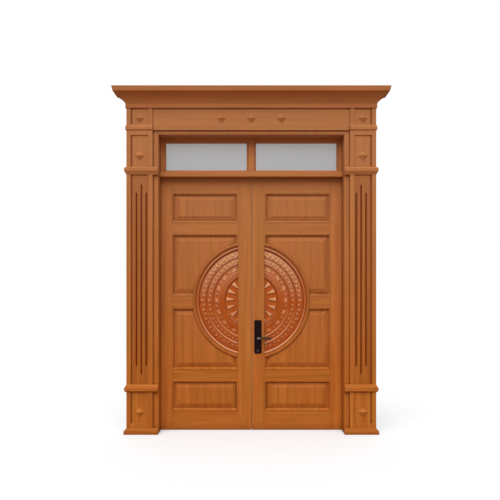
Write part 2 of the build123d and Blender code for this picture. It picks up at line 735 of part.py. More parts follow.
for side, sign in sides:
    # Stiles: hollow lengths over the full height, with plugs in their ends
    with BuildPart() as hinge_stile_length:
        with BuildSketch(Plane.XY.offset(floor_gap)):
            with Locations((sign * (hinge_inner + hinge_edge) / 2, leaf_middle)):
                Rectangle(hinge_stile, leaf_thickness)
                Rectangle(hinge_stile - 2 * leaf_wall, leaf_thickness - 2 * leaf_wall, mode=Mode.SUBTRACT)
        extrude(amount=leaf_height)
    save(hinge_stile_length, f"{side}_hinge_stile")

    with BuildPart() as meeting_stile_length:
        with BuildSketch(Plane.XY.offset(floor_gap)):
            with Locations((sign * (meeting_inner + meeting_edge) / 2, leaf_middle)):
                Rectangle(meeting_stile, leaf_thickness)
                Rectangle(meeting_stile - 2 * leaf_wall, leaf_thickness - 2 * leaf_wall, mode=Mode.SUBTRACT)
        extrude(amount=leaf_height)
        slot_x = along(sign, meeting_edge - over, meeting_edge + leaf_wall + fit)
        with BuildSketch(Plane.YZ.offset(slot_x)):
            for low, high in edge_slots[side]:
                with Locations((leaf_middle, (low + high) / 2)):
                    Rectangle(faceplate_width + 2 * fit, high - low + 2 * fit)
        extrude(amount=leaf_wall + over + fit, mode=Mode.SUBTRACT)
        if side == "right":
            # spindle and cylinder pass through both faces
            with BuildSketch(Plane.XZ.offset(-leaf_back - over)):
                with Locations((lever_x, lever_height)):
                    Circle(spindle_hole)
                with Locations((lever_x, cylinder_z)):
                    Circle(cylinder_radius + fit)
            extrude(amount=leaf_thickness + 2 * over, mode=Mode.SUBTRACT)
    save(meeting_stile_length, f"{side}_meeting_stile")

    with BuildPart() as end_caps:
        for low in (floor_gap, leaf_top - cap_depth):
            with BuildSketch(Plane.XY.offset(low)):
                for middle, width in (
                    ((hinge_inner + hinge_edge) / 2, hinge_stile),
                    ((meeting_inner + meeting_edge) / 2, meeting_stile),
                ):
                    with Locations((sign * middle, leaf_middle)):
                        Rectangle(width - 2 * leaf_wall - 2 * fit, leaf_thickness - 2 * leaf_wall - 2 * fit)
                with Locations((sign * lever_x, leaf_middle)):
                    Circle(rod_hole[side], mode=Mode.SUBTRACT)
            extrude(amount=cap_depth)
    save(end_caps, f"{side}_end_caps")

    # Rails: hollow lengths between the stiles
    rail_start = along(sign, meeting_inner, hinge_inner)
    rails = (
        ("bottom_rail", [(floor_gap, bottom_rail)]),
        ("cross_rails", [(low_cross, cross_rail), (high_cross, cross_rail)]),
        ("middle_rail", [(middle_low, middle_rail)]),
        ("top_rail", [(top_rail_low, top_rail)]),
    )
    for rail_name, lengths in rails:
        with BuildPart() as rail:
            with BuildSketch(Plane.YZ.offset(rail_start)):
                for low, height in lengths:
                    with Locations((leaf_middle, low + height / 2)):
                        Rectangle(leaf_thickness, height)
                        Rectangle(
                            leaf_thickness - 2 * leaf_wall, height - 2 * leaf_wall, mode=Mode.SUBTRACT
                        )
            extrude(amount=panel_width)
            if rail_name == "middle_rail":
                with BuildSketch(Plane.XZ.offset(-leaf_back - over)):
                    with Locations((0, drum_z)):
                        Circle(rim_cut)
                extrude(amount=leaf_thickness + 2 * over, mode=Mode.SUBTRACT)
        save(rail, f"{side}_{rail_name}")

    # Panels with a raised field on both faces, and the mouldings that hold them
    field_rise = leaf_thickness / 2 - field_sink - tongue / 2
    field_taper = math.degrees(math.atan(bevel_width / field_rise))
    panel_kinds = (
        ("small_panels", small_panel, (bottom_panel_low, top_panel_low)),
        ("large_panels", large_panel, (lower_panel_low, upper_panel_low)),
    )
    for panels_name, height, lows in panel_kinds:
        with BuildPart() as panels:
            for low in lows:
                middle = (sign * panel_x, low + height / 2)
                with BuildSketch(Plane.XZ.offset(-leaf_middle - tongue / 2)):
                    with Locations(middle):
                        Rectangle(panel_width - 2 * fit, height - 2 * fit)
                extrude(amount=tongue)
                for facing in (-1, 1):
                    tongue_face = Plane(
                        (sign * panel_x, leaf_middle + facing * tongue / 2, low + height / 2),
                        (1, 0, 0),
                        (0, facing, 0),
                    )
                    with BuildSketch(tongue_face):
                        Rectangle(panel_width - 2 * moulding_width, height - 2 * moulding_width)
                    extrude(amount=field_rise, taper=field_taper)
            if panels_name == "large_panels":
                with BuildSketch(Plane.XZ.offset(-leaf_back - over)):
                    with Locations((0, drum_z)):
                        Circle(rim_cut)
                extrude(amount=leaf_thickness + 2 * over, mode=Mode.SUBTRACT)
        save(panels, f"{side}_{panels_name}")

    moulding_depth = leaf_thickness / 2 - tongue / 2 + moulding_proud
    moulding_taper = math.degrees(math.atan(moulding_bevel / moulding_depth))
    moulding_mouth = moulding_width - moulding_bevel
    with BuildPart() as mouldings:
        for _, height, lows in panel_kinds:
            for low in lows:
                middle = (sign * panel_x, low + height / 2)
                for facing in (-1, 1):
                    inner_y = leaf_middle + facing * tongue / 2
                    outer_y = inner_y + facing * moulding_depth
                    with BuildSketch(Plane.XZ.offset(-max(inner_y, outer_y))):
                        with Locations(middle):
                            Rectangle(panel_width - 2 * fit, height - 2 * fit)
                    extrude(amount=moulding_depth)
                    moulding_face = Plane(
                        (sign * panel_x, outer_y, low + height / 2), (1, 0, 0), (0, -facing, 0)
                    )
                    with BuildSketch(moulding_face):
                        Rectangle(panel_width - 2 * moulding_mouth, height - 2 * moulding_mouth)
                    extrude(amount=moulding_depth, taper=moulding_taper, mode=Mode.SUBTRACT)
        with BuildSketch(Plane.XZ.offset(-leaf_back - moulding_proud - over)):
            with Locations((0, drum_z)):
                Circle(rim_cut)
        extrude(amount=leaf_thickness + 2 * moulding_proud + 2 * over, mode=Mode.SUBTRACT)
    save(mouldings, f"{side}_mouldings")

    # Half of the drum and its rim, cut along the meeting stile
    with BuildPart() as medallion_rim:
        with BuildSketch(Plane.XY.offset(drum_z)):
            add(rim_section.sketch)
        revolve(axis=drum_axis)
        with BuildSketch(Plane.XZ.offset(-leaf_back - over)):
            with Locations((sign * (meeting_inner + fit + rim_radius), drum_z)):
                Rectangle(2 * rim_radius, 2 * rim_radius + 2 * over)
        extrude(amount=leaf_thickness + rim_proud + 2 * over, mode=Mode.INTERSECT)
    save(medallion_rim, f"{side}_medallion_rim")

    with BuildPart() as medallion:
        with BuildSketch(Plane.XY.offset(drum_z)):
            add(drum_section.sketch)
        revolve(axis=drum_axis)
        for (outer, inner), count in boss_rings:
            ring_middle = (outer + inner) / 2 * drum_radius
            spacing = 2 * math.pi * ring_middle / count
            with BuildSketch(Plane.XZ.offset(-groove_floor)):
                with Locations((0, drum_z)):
                    with PolarLocations(ring_middle, count):
                        Rectangle(
                            (outer - inner) * drum_radius * boss_length_share, spacing * boss_width_share
                        )
            extrude(amount=boss_height, taper=boss_taper)
        with BuildSketch(Plane.XZ.offset(-groove_floor)):
            with Locations((0, drum_z)):
                with PolarLocations(ray_middle, ray_count):
                    Polygon(
                        (-ray_length / 2, -ray_inner / 2),
                        (ray_length / 2, -ray_outer / 2),
                        (ray_length / 2, ray_outer / 2),
                        (-ray_length / 2, ray_inner / 2),
                        align=None,
                    )
        extrude(amount=drum_groove)
        with BuildSketch(Plane.XZ.offset(-leaf_back - over)):
            with Locations((sign * (meeting_inner + fit + rim_radius), drum_z)):
                Rectangle(2 * rim_radius, 2 * rim_radius + 2 * over)
        extrude(amount=leaf_thickness + 2 * over, mode=Mode.INTERSECT)
    save(medallion, f"{side}_medallion")

    # Hinge plates on the leaf, one knuckle each
    with BuildPart() as hinge_leaf_plates:
        for low in hinge_heights:
            with BuildSketch(Plane.XY.offset(low + knuckle + fit)):
                with Locations((sign * hinge_x, hinge_y)):
                    Circle(barrel_radius)
                with Locations((sign * (hinge_x - barrel_reach / 2), plate_y)):
                    Rectangle(barrel_reach, hinge_plate_thickness)
                with Locations((sign * hinge_x, hinge_y)):
                    Circle(pin_radius + running_fit, mode=Mode.SUBTRACT)
            extrude(amount=hinge_length - 2 * knuckle - 2 * fit)
            with BuildSketch(Plane.XY.offset(low)):
                with Locations((sign * (hinge_x - barrel_reach - hinge_plate / 2), plate_y)):
                    Rectangle(hinge_plate, hinge_plate_thickness)
            extrude(amount=hinge_length)
    save(hinge_leaf_plates, f"{side}_hinge_plates")

    # Seal strip on the meeting edge and sweep under the foot
    with BuildPart() as leaf_seals:
        with BuildSketch(Plane.XY.offset(floor_gap)):
            with Locations((sign * (meeting_edge - edge_seal_proud / 2), leaf_back - edge_seal_width)):
                Rectangle(edge_seal_proud, edge_seal_width)
        extrude(amount=leaf_height)
        with BuildSketch(Plane.XY.offset(floor_gap)):
            with Locations((sign * (meeting_edge + hinge_edge) / 2, leaf_back - sweep_width)):
                Rectangle(hinge_edge - meeting_edge, sweep_width)
        extrude(amount=-sweep_drop)
    save(leaf_seals, f"{side}_seals")

# Lock case in the right meeting stile, with its faceplate let into the edge
case_inner = meeting_edge + leaf_wall
with BuildPart() as lock_case:
    with BuildSketch(Plane.XY.offset(case_low)):
        with Locations(((case_inner + meeting_edge + case_depth) / 2, leaf_middle)):
            Rectangle(case_depth - leaf_wall, case_thickness)
    extrude(amount=case_top - case_low)
    with BuildSketch(Plane.YZ.offset(meeting_edge)):
        with Locations((leaf_middle, (case_low + case_top) / 2)):
            Rectangle(faceplate_width, case_top - case_low + 2 * faceplate_margin)
    extrude(amount=leaf_wall)
    with BuildSketch(Plane.YZ.offset(meeting_edge - over)):
        with Locations((leaf_middle, bolt_z)):
            Rectangle(bolt_thickness + 2 * fit, bolt_height + 2 * fit)
    extrude(amount=over + bolt_length + 2 * fit, mode=Mode.SUBTRACT)
    with BuildSketch(Plane.XZ.offset(-leaf_back)):
        with Locations((lever_x, lever_height)):
            Circle(spindle_hole)
        with Locations((lever_x, cylinder_z)):
            Circle(cylinder_radius + fit)
    extrude(amount=leaf_thickness, mode=Mode.SUBTRACT)
    for bore_low in (case_top - rod_grip - fit, case_low - over):
        with BuildSketch(Plane.XY.offset(bore_low)):
            with Locations((lever_x, leaf_middle)):
                Circle(rod_radius + fit)
        extrude(amount=rod_grip + fit + over, mode=Mode.SUBTRACT)
save(lock_case, "lock_case")

# Handle plates and levers on both faces, joined by a square spindle
plate_z = lever_height + plate_rise
middle_plane = Plane.XZ.offset(-leaf_middle)
with BuildPart() as handle_plates:
    with BuildSketch(Plane.XZ.offset(-leaf_front)):
        with Locations((lever_x, plate_z)):
            RectangleRounded(plate_width, plate_height, plate_round)
        with Locations((lever_x, lever_height)):
            Circle(neck_radius + running_fit, mode=Mode.SUBTRACT)
        with Locations((lever_x, cylinder_z)):
            Circle(cylinder_radius + fit, mode=Mode.SUBTRACT)
    extrude(amount=plate_thickness)
    mirror(about=middle_plane)
save(handle_plates, "handle_plates")

lever_face = plate_thickness + neck_length  # arm's near face, in front of the leaf
with BuildPart() as lever_handles:
    with BuildSketch(Plane.XZ.offset(-leaf_front + lever_face)):
        with Locations((lever_x + lever_length / 2, lever_height)):
            SlotOverall(lever_length + 2 * neck_radius, 2 * neck_radius)
    extrude(amount=lever_thickness)
    arm_front = lever_handles.faces().sort_by(Axis.Y)[0]
    chamfer(arm_front.edges(), length=lever_edge)
    with BuildSketch(Plane.XZ.offset(-leaf_front + fit)):
        with Locations((lever_x, lever_height)):
            Circle(neck_radius)
    extrude(amount=lever_face - fit)
    with BuildSketch(Plane.XZ.offset(-leaf_front)):
        with Locations((lever_x, lever_height)):
            Rectangle(spindle_size + 2 * running_fit, spindle_size + 2 * running_fit)
    extrude(amount=spindle_grip + 2 * fit, mode=Mode.SUBTRACT)
    mirror(about=middle_plane)
save(lever_handles, "lever_handles")

with BuildPart() as lever_spindle:
    with BuildSketch(Plane.XZ.offset(-leaf_back - spindle_grip)):
        with Locations((lever_x, lever_height)):
            Rectangle(spindle_size, spindle_size)
    extrude(amount=leaf_thickness + 2 * spindle_grip)
save(lever_spindle, "lever_spindle")

# Cylinder through both plates, with a core that carries the key slot outside and the thumb turn inside
cylinder_front = leaf_front - plate_thickness - cylinder_proud
cylinder_back = leaf_back + plate_thickness + cylinder_proud
with BuildPart() as lock_cylinder:
    with BuildSketch(Plane.XZ.offset(-cylinder_back)):
        with Locations((lever_x, cylinder_z)):
            Circle(cylinder_radius)
            Circle(core_radius + running_fit, mode=Mode.SUBTRACT)
    extrude(amount=cylinder_back - cylinder_front)
save(lock_cylinder, "lock_cylinder")

with BuildPart() as thumb_turn:
    with BuildSketch(Plane.XZ.offset(-cylinder_back - fit)):
        with Locations((lever_x, cylinder_z)):
            Circle(core_radius)
    extrude(amount=cylinder_back - cylinder_front + fit)
    with BuildSketch(Plane.XZ.offset(-cylinder_back - fit - turn_height)):
        with Locations((lever_x, cylinder_z)):
            SlotOverall(turn_length, turn_width, rotation=90)
    extrude(amount=turn_height)
    with BuildSketch(Plane.XZ.offset(-cylinder_front)):
        with Locations((lever_x, cylinder_z)):
            Rectangle(key_slot_width, key_slot_height)
    extrude(amount=-key_slot_depth, mode=Mode.SUBTRACT)
save(thumb_turn, "thumb_turn")

with BuildPart() as dead_bolt:
    with BuildSketch(Plane.YZ.offset(meeting_edge + fit)):
        with Locations((leaf_middle, bolt_z)):
            Rectangle(bolt_thickness, bolt_height)
    extrude(amount=bolt_length)
save(dead_bolt, "dead_bolt")

# Rods that the lever throws upwards and downwards
for rod_name, low, high in (
    ("upper_rod", case_top - rod_grip, leaf_top - rod_inset),
    ("lower_rod", floor_gap + rod_inset, case_low + rod_grip),
):
    with BuildPart() as rod:
        with BuildSketch(Plane.XY.offset(low)):
            with Locations((lever_x, leaf_middle)):
                Circle(rod_radius)
        extrude(amount=high - low)
    save(rod, rod_name)

# Strike plate in the left meeting stile
with BuildPart() as strike_plate:
    with BuildSketch(Plane.YZ.offset(-meeting_edge - leaf_wall)):
        with Locations((leaf_middle, bolt_z)):
            Rectangle(faceplate_width, strike_height)
            Rectangle(bolt_thickness + 2 * strike_play, bolt_height + 2 * strike_play, mode=Mode.SUBTRACT)
    extrude(amount=leaf_wall)
save(strike_plate, "strike_plate")

# Flush bolts of the left leaf: a case let into the edge, and a bolt with a thumb piece
with BuildPart() as flush_bolt_cases:
    for (low, high), way in zip(flush_case_spans, (-1, 1)):
        with BuildSketch(Plane.XY.offset(low)):
            with Locations((-(case_inner + meeting_edge + flush_case_depth) / 2, leaf_middle)):
                Rectangle(flush_case_depth - leaf_wall, case_thickness)
        extrude(amount=high - low)
        with BuildSketch(Plane.YZ.offset(-case_inner)):
            with Locations((leaf_middle, (low + high) / 2)):
                Rectangle(faceplate_width, high - low + 2 * faceplate_margin)
        extrude(amount=leaf_wall)
        with BuildSketch(Plane.XY.offset(low - over)):
            with Locations((-lever_x, leaf_middle)):
                Circle(flush_radius + fit)
        extrude(amount=high - low + 2 * over, mode=Mode.SUBTRACT)
        slot_middle = (low + high) / 2 + way * flush_throw / 2
        with BuildSketch(Plane.YZ.offset(-lever_x)):
            with Locations((leaf_middle, slot_middle)):
                Rectangle(thumb_width + 2 * fit, thumb_height + flush_throw + 2 * fit)
        extrude(amount=lever_x, mode=Mode.SUBTRACT)
save(flush_bolt_cases, "flush_bolt_cases")

for bolt_name, (low, high), (case_end, other_end) in zip(
    ("lower_flush_bolt", "upper_flush_bolt"),
    (
        (floor_gap + rod_inset, floor_gap + rod_inset + flush_length),
        (leaf_top - rod_inset - flush_length, leaf_top - rod_inset),
    ),
    flush_case_spans,
):
    with BuildPart() as flush_bolt:
        with BuildSketch(Plane.XY.offset(low)):
            with Locations((-lever_x, leaf_middle)):
                Circle(flush_radius)
        extrude(amount=high - low)
        with BuildSketch(Plane.YZ.offset(-lever_x)):
            with Locations((leaf_middle, (case_end + other_end) / 2)):
                Rectangle(thumb_width, thumb_height)
        extrude(amount=lever_x - meeting_edge - fit)
    save(flush_bolt, bolt_name)
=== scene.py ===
"""Looks of a panelled double entrance door with a carved drum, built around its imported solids.

Every solid keeps its place and is dressed in a finish. The two halves of the drum are carved here
in finer relief, the upper ends of the flutes are closed, and the small fasteners are added.
Lengths are in metres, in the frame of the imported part: X across the doorway, Y into the building,
Z up. Display colours are red, green and blue from 0 to 255.
"""

import logging
import math
from dataclasses import dataclass
from enum import Enum
from typing import Iterable, Mapping, Sequence

import bmesh
import bpy
from mathutils import Matrix, Vector


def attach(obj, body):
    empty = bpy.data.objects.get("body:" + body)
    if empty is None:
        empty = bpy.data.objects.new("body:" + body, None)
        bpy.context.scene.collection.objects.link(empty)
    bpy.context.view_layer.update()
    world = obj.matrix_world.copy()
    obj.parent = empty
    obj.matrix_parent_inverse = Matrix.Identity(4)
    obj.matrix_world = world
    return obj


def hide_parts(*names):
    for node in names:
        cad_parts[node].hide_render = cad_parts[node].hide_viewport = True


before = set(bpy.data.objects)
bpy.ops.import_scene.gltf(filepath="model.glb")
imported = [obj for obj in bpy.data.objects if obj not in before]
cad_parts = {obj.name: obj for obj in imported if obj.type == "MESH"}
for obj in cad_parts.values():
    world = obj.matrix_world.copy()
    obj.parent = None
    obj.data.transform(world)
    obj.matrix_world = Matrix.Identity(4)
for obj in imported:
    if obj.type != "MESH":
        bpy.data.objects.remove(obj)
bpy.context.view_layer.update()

LOG = logging.getLogger("double_door")

BMesh = bmesh.types.BMesh
BMEdge = bmesh.types.BMEdge
BMVert = bmesh.types.BMVert
Node = bpy.types.Node
NodeTree = bpy.types.NodeTree
Socket = bpy.types.NodeSocket
Value = Socket | float | Sequence[float]
Tone = tuple[int, int, int]
Point = tuple[float, float, float]
Span = tuple[float, float]

SIDES = (("left", -1), ("right", 1))
UNIT: Span = (0.0, 1.0)
WHITE = (1.0, 1.0, 1.0, 1.0)
# inputs and output of a colour mix
MIX_FACTOR, MIX_FIRST, MIX_SECOND, MIX_RESULT = 0, 6, 7, 2


def tone(colour: Tone) -> tuple[float, ...]:
    """Turn a display colour into the linear colour that a shader takes.

    Args:
        colour: Display colour.

    Returns:
        Linear red, green, blue and an alpha of 1.
    """
    linear = (
        value / 255 / 12.92 if value <= 10 else ((value / 255 + 0.055) / 1.055) ** 2.4
        for value in colour
    )
    return (*linear, 1.0)


def only(kind: type, items: Iterable[object]) -> list:
    """Pick the elements of one kind out of an operator's result."""
    return [item for item in items if isinstance(item, kind)]


def unique(items: Iterable[object]) -> list:
    """Drop what is named twice and keep the order."""
    return list(dict.fromkeys(items))


class NodeSheet:
    """Adds nodes to one node tree and joins their sockets."""

    def __init__(self, tree: NodeTree) -> None:
        """Start on an empty tree."""
        self.tree = tree
        self.tree.nodes.clear()

    def add(
        self, kind: str, inputs: Mapping[str | int, Value] | None = None, **settings: object
    ) -> Node:
        """Add one node.

        Args:
            kind: Node type without its ShaderNode prefix, or the full type of a group's end.
            inputs: Sockets to join to the node's inputs, or values to set there.
            **settings: Attributes to set on the node.

        Returns:
            The new node.
        """
        node = self.tree.nodes.new(kind if kind.startswith("Node") else "ShaderNode" + kind)
        for name, value in settings.items():
            setattr(node, name, value)
        for name, value in (inputs or {}).items():
            self.feed(value, node.inputs[name])
        return node

    def feed(self, source: Value, target: Socket) -> None:
        """Join a socket to an input, or set the input's value.

        Args:
            source: Socket or value.
            target: Input that takes it.
        """
        if isinstance(source, Socket):
            self.tree.links.new(source, target)
        else:
            target.default_value = source

    def place(self) -> Socket:
        """Give the Object coordinates."""
        return self.add("TexCoord").outputs["Object"]

    def axis(self, name: str) -> Socket:
        """Give one of the Object coordinates X, Y and Z."""
        return self.add("SeparateXYZ", {"Vector": self.place()}).outputs[name]

    def across(self) -> Socket:
        """Give the distance from the middle of the doorway, to either side."""
        return self.add("Math", {0: self.axis("X")}, operation="ABSOLUTE").outputs[0]

    def math(self, operation: str, first: Value, second: Value) -> Socket:
        """Combine two values and hold the result between 0 and 1."""
        node = self.add("Math", {0: first, 1: second}, operation=operation, use_clamp=True)
        return node.outputs[0]

    def mix(self, factor: Value, first: Value, second: Value) -> Socket:
        """Mix two colours, with the factor as the share of the second one."""
        inputs = {MIX_FACTOR: factor, MIX_FIRST: first, MIX_SECOND: second}
        return self.add("Mix", inputs, data_type="RGBA").outputs[MIX_RESULT]

    def stain(self, ground: Value, colour: Tone, mask: Socket, share: Value = 1.0) -> Socket:
        """Lay a display colour over a ground, where a mask says, by a share of up to 1."""
        return self.mix(self.math("MULTIPLY", mask, share), ground, tone(colour))

    def span(self, value: Socket, source: Span, target: Span = UNIT) -> Socket:
        """Map one range of values onto another.

        Args:
            value: Value to map.
            source: Lower and upper end of the range it comes in.
            target: Lower and upper end of the range it leaves in.

        Returns:
            The mapped value.
        """
        ends = ("From Min", "From Max", "To Min", "To Max")
        inputs = {"Value": value, **dict(zip(ends, (*source, *target)))}
        return self.add("MapRange", inputs).outputs["Result"]

    def noise(
        self, vector: Socket, scale: float, detail: float = 2.0, distortion: float = 0.0
    ) -> Socket:
        """Give a noise with its scale, its octaves and how far it is warped."""
        inputs = {"Vector": vector, "Scale": scale, "Detail": detail, "Distortion": distortion}
        return self.add("TexNoise", inputs).outputs["Fac"]

    def ramp(
        self, value: Socket, places: Sequence[float], shares: Sequence[float], run: str = "LINEAR"
    ) -> Socket:
        """Give a share that changes along a value.

        Args:
            value: Value between 0 and 1.
            places: Values of the stops.
            shares: Share at each stop.
            run: How the share runs from one stop to the next.

        Returns:
            The share.
        """
        node = self.add("ValToRGB", {"Fac": value})
        node.color_ramp.interpolation = run
        stops = node.color_ramp.elements
        while len(stops) < len(places):
            stops.new(0.5)
        for stop, place, share in zip(stops, places, shares):
            stop.position = place
            stop.color = (share, share, share, 1.0)
        return node.outputs["Color"]


@dataclass(frozen=True)
class NoiseLayer:
    """One noise of a shared effect.

    Attributes:
        label: Name of the value that it gives.
        scale: Scale of the noise.
        detail: Its octaves.
        distortion: How far it is warped.
        reach: Range of it that is spread out from 0 to 1.
    """

    label: str
    scale: float
    detail: float
    distortion: float
    reach: Span


GRAIN_LAYERS = (
    NoiseLayer("Bands", 1.0, 3.0, 0.6, (0.3, 0.7)),
    NoiseLayer("Warmth", 1.7, 2.0, 0.4, (0.36, 0.64)),
    NoiseLayer("Streaks", 6.0, 5.0, 0.25, (0.25, 0.75)),
    NoiseLayer("Pores", 22.0, 2.0, 0.1, (0.6, 0.75)),
)
BRUSH_LAYERS = (
    NoiseLayer("Lines", 40.0, 3.0, 0.0, (0.25, 0.75)),
    NoiseLayer("Smudge", 2.0, 2.0, 0.0, (0.25, 0.75)),
)


class SharedEffects:
    """Node groups that several finishes use, each built once."""

    corner_samples: int = 8
    corner_openness: Span = (0.78, 0.3)
    sheen_heights: Span = (0.5, 2.4)
    foot_darkening_height: float = 0.075
    mottle_scale: float = 3.5
    mottle_reach: Span = (0.3, 0.7)

    def __init__(self) -> None:
        """Build the printed grain, the brushed lines, the painted shade in corners and the painted
        sheen and darkening along the height.
        """
        self.grain = self._noises("printed_grain", GRAIN_LAYERS)
        self.brushing = self._noises("brushed_lines", BRUSH_LAYERS)
        self.painted_corner_shade = self._painted_corner_shade()
        self.drift = self._drift()

    @staticmethod
    def _group(
        name: str, takes: Mapping[str, str], gives: Iterable[str]
    ) -> tuple[NodeSheet, Node, Node]:
        """Start a node group.

        Args:
            name: Name of the group.
            takes: Names and socket types of its inputs.
            gives: Names of the values that it puts out.

        Returns:
            A sheet on the group, its entry and its exit.
        """
        tree = bpy.data.node_groups.new(name, "ShaderNodeTree")
        for label, kind in takes.items():
            tree.interface.new_socket(label, in_out="INPUT", socket_type=kind)
        for label in gives:
            tree.interface.new_socket(label, in_out="OUTPUT", socket_type="NodeSocketFloat")
        sheet = NodeSheet(tree)
        return sheet, sheet.add("NodeGroupInput"), sheet.add("NodeGroupOutput")

    def _noises(self, name: str, layers: Sequence[NoiseLayer]) -> NodeTree:
        """Build a group of noises along one direction.

        Args:
            name: Name of the group.
            layers: Its noises.

        Returns:
            The group, which takes a stretched coordinate.
        """
        labels = [layer.label for layer in layers]
        sheet, entry, leave = self._group(name, {"Vector": "NodeSocketVector"}, labels)
        vector = entry.outputs["Vector"]
        for layer in layers:
            noise = sheet.noise(vector, layer.scale, layer.detail, layer.distortion)
            sheet.feed(sheet.span(noise, layer.reach), leave.inputs[layer.label])
        return sheet.tree

    def _painted_corner_shade(self) -> NodeTree:
        """Build the painted shade that darkens quirks and inner corners, where shade falls.

        Returns:
            The group, which puts out a mask that is 1 in a tight corner.
        """
        sheet, entry, leave = self._group("painted_corner_shade", {"Reach": "NodeSocketFloat"}, ["Mask"])
        reach = {"Distance": entry.outputs["Reach"]}
        nearness = sheet.add("AmbientOcclusion", reach, samples=self.corner_samples)
        mask = sheet.span(nearness.outputs["AO"], self.corner_openness)
        sheet.feed(mask, leave.inputs["Mask"])
        return sheet.tree

    def _drift(self) -> NodeTree:
        """Build the painted sheen that pales the door towards its top, the darkening at its foot
        and a mottle.

        Returns:
            The group, which puts out the painted sheen, 0 low down and 1 high up, the darkening at
            the foot and a mottle.
        """
        sheet, _, leave = self._group("height_drift", {}, ("Share", "Foot", "Mottle"))
        noise = sheet.noise(sheet.place(), self.mottle_scale)
        for label, value in (
            ("Share", sheet.span(sheet.axis("Z"), self.sheen_heights)),
            ("Foot", sheet.span(sheet.axis("Z"), (0.0, self.foot_darkening_height), (1.0, 0.0))),
            ("Mottle", sheet.span(noise, self.mottle_reach)),
        ):
            sheet.feed(value, leave.inputs[label])
        return sheet.tree


class CoatSheet(NodeSheet):
    """Node sheet of a material, with its shader and the shared effects."""

    def __init__(self, material: bpy.types.Material, effects: SharedEffects) -> None:
        """Start with a Principled shader.

        Args:
            material: Material to lay out.
            effects: Shared node groups.
        """
        material.use_nodes = True
        super().__init__(material.node_tree)
        self.effects = effects
        self.shader = self.add("BsdfPrincipled")
        self.add("OutputMaterial", {"Surface": self.shader.outputs["BSDF"]})

    def effect(self, group: NodeTree, **inputs: Value) -> Mapping[str, Socket]:
        """Put a shared effect in and give its outputs."""
        return self.add("Group", inputs, node_tree=group).outputs

    def stretched(self, stretch: Sequence[float], shift: Point = (0.0, 0.0, 0.0)) -> Socket:
        """Give Object coordinates, stretched along X, Y and Z and shifted."""
        inputs = {"Vector": self.place(), "Scale": stretch, "Location": shift}
        return self.add("Mapping", inputs).outputs["Vector"]

    def mark(self, layer: str) -> Socket:
        """Give one of the marks, from 0 to 1, that carving leaves on its vertices."""
        return self.add("Attribute", attribute_name=layer).outputs["Fac"]

    def shade(self, **inputs: Value) -> None:
        """Feed inputs of the shader, named with _ for a space."""
        for name, value in inputs.items():
            self.feed(value, self.shader.inputs[name.replace("_", " ")])

    def bump(self, height: Socket, depth: float, strength: float) -> None:
        """Raise a fine relief of a given depth on the surface."""
        node = self.add("Bump", {"Height": height, "Distance": depth, "Strength": strength})
        self.feed(node.outputs["Normal"], self.shader.inputs["Normal"])


class Grain(Enum):
    """Which way the printed grain runs, as the stretch of the coordinates along X, Y and Z."""

    UPRIGHT = (26.0, 26.0, 1.1)
    LEVEL = (1.1, 26.0, 26.0)


class Finish:
    """A surface that pieces are dressed in."""

    name: str

    def material(self, effects: SharedEffects) -> bpy.types.Material:
        """Build or fetch the material of this finish.

        Args:
            effects: Shared node groups.

        Returns:
            The material.
        """
        known = bpy.data.materials.get(self.name)
        if known is not None:
            return known
        made = bpy.data.materials.new(self.name)
        self.paint(CoatSheet(made, effects))
        return made

    def paint(self, coat: CoatSheet) -> None:
        """Lay the finish out on the sheet of its material."""
        raise NotImplementedError


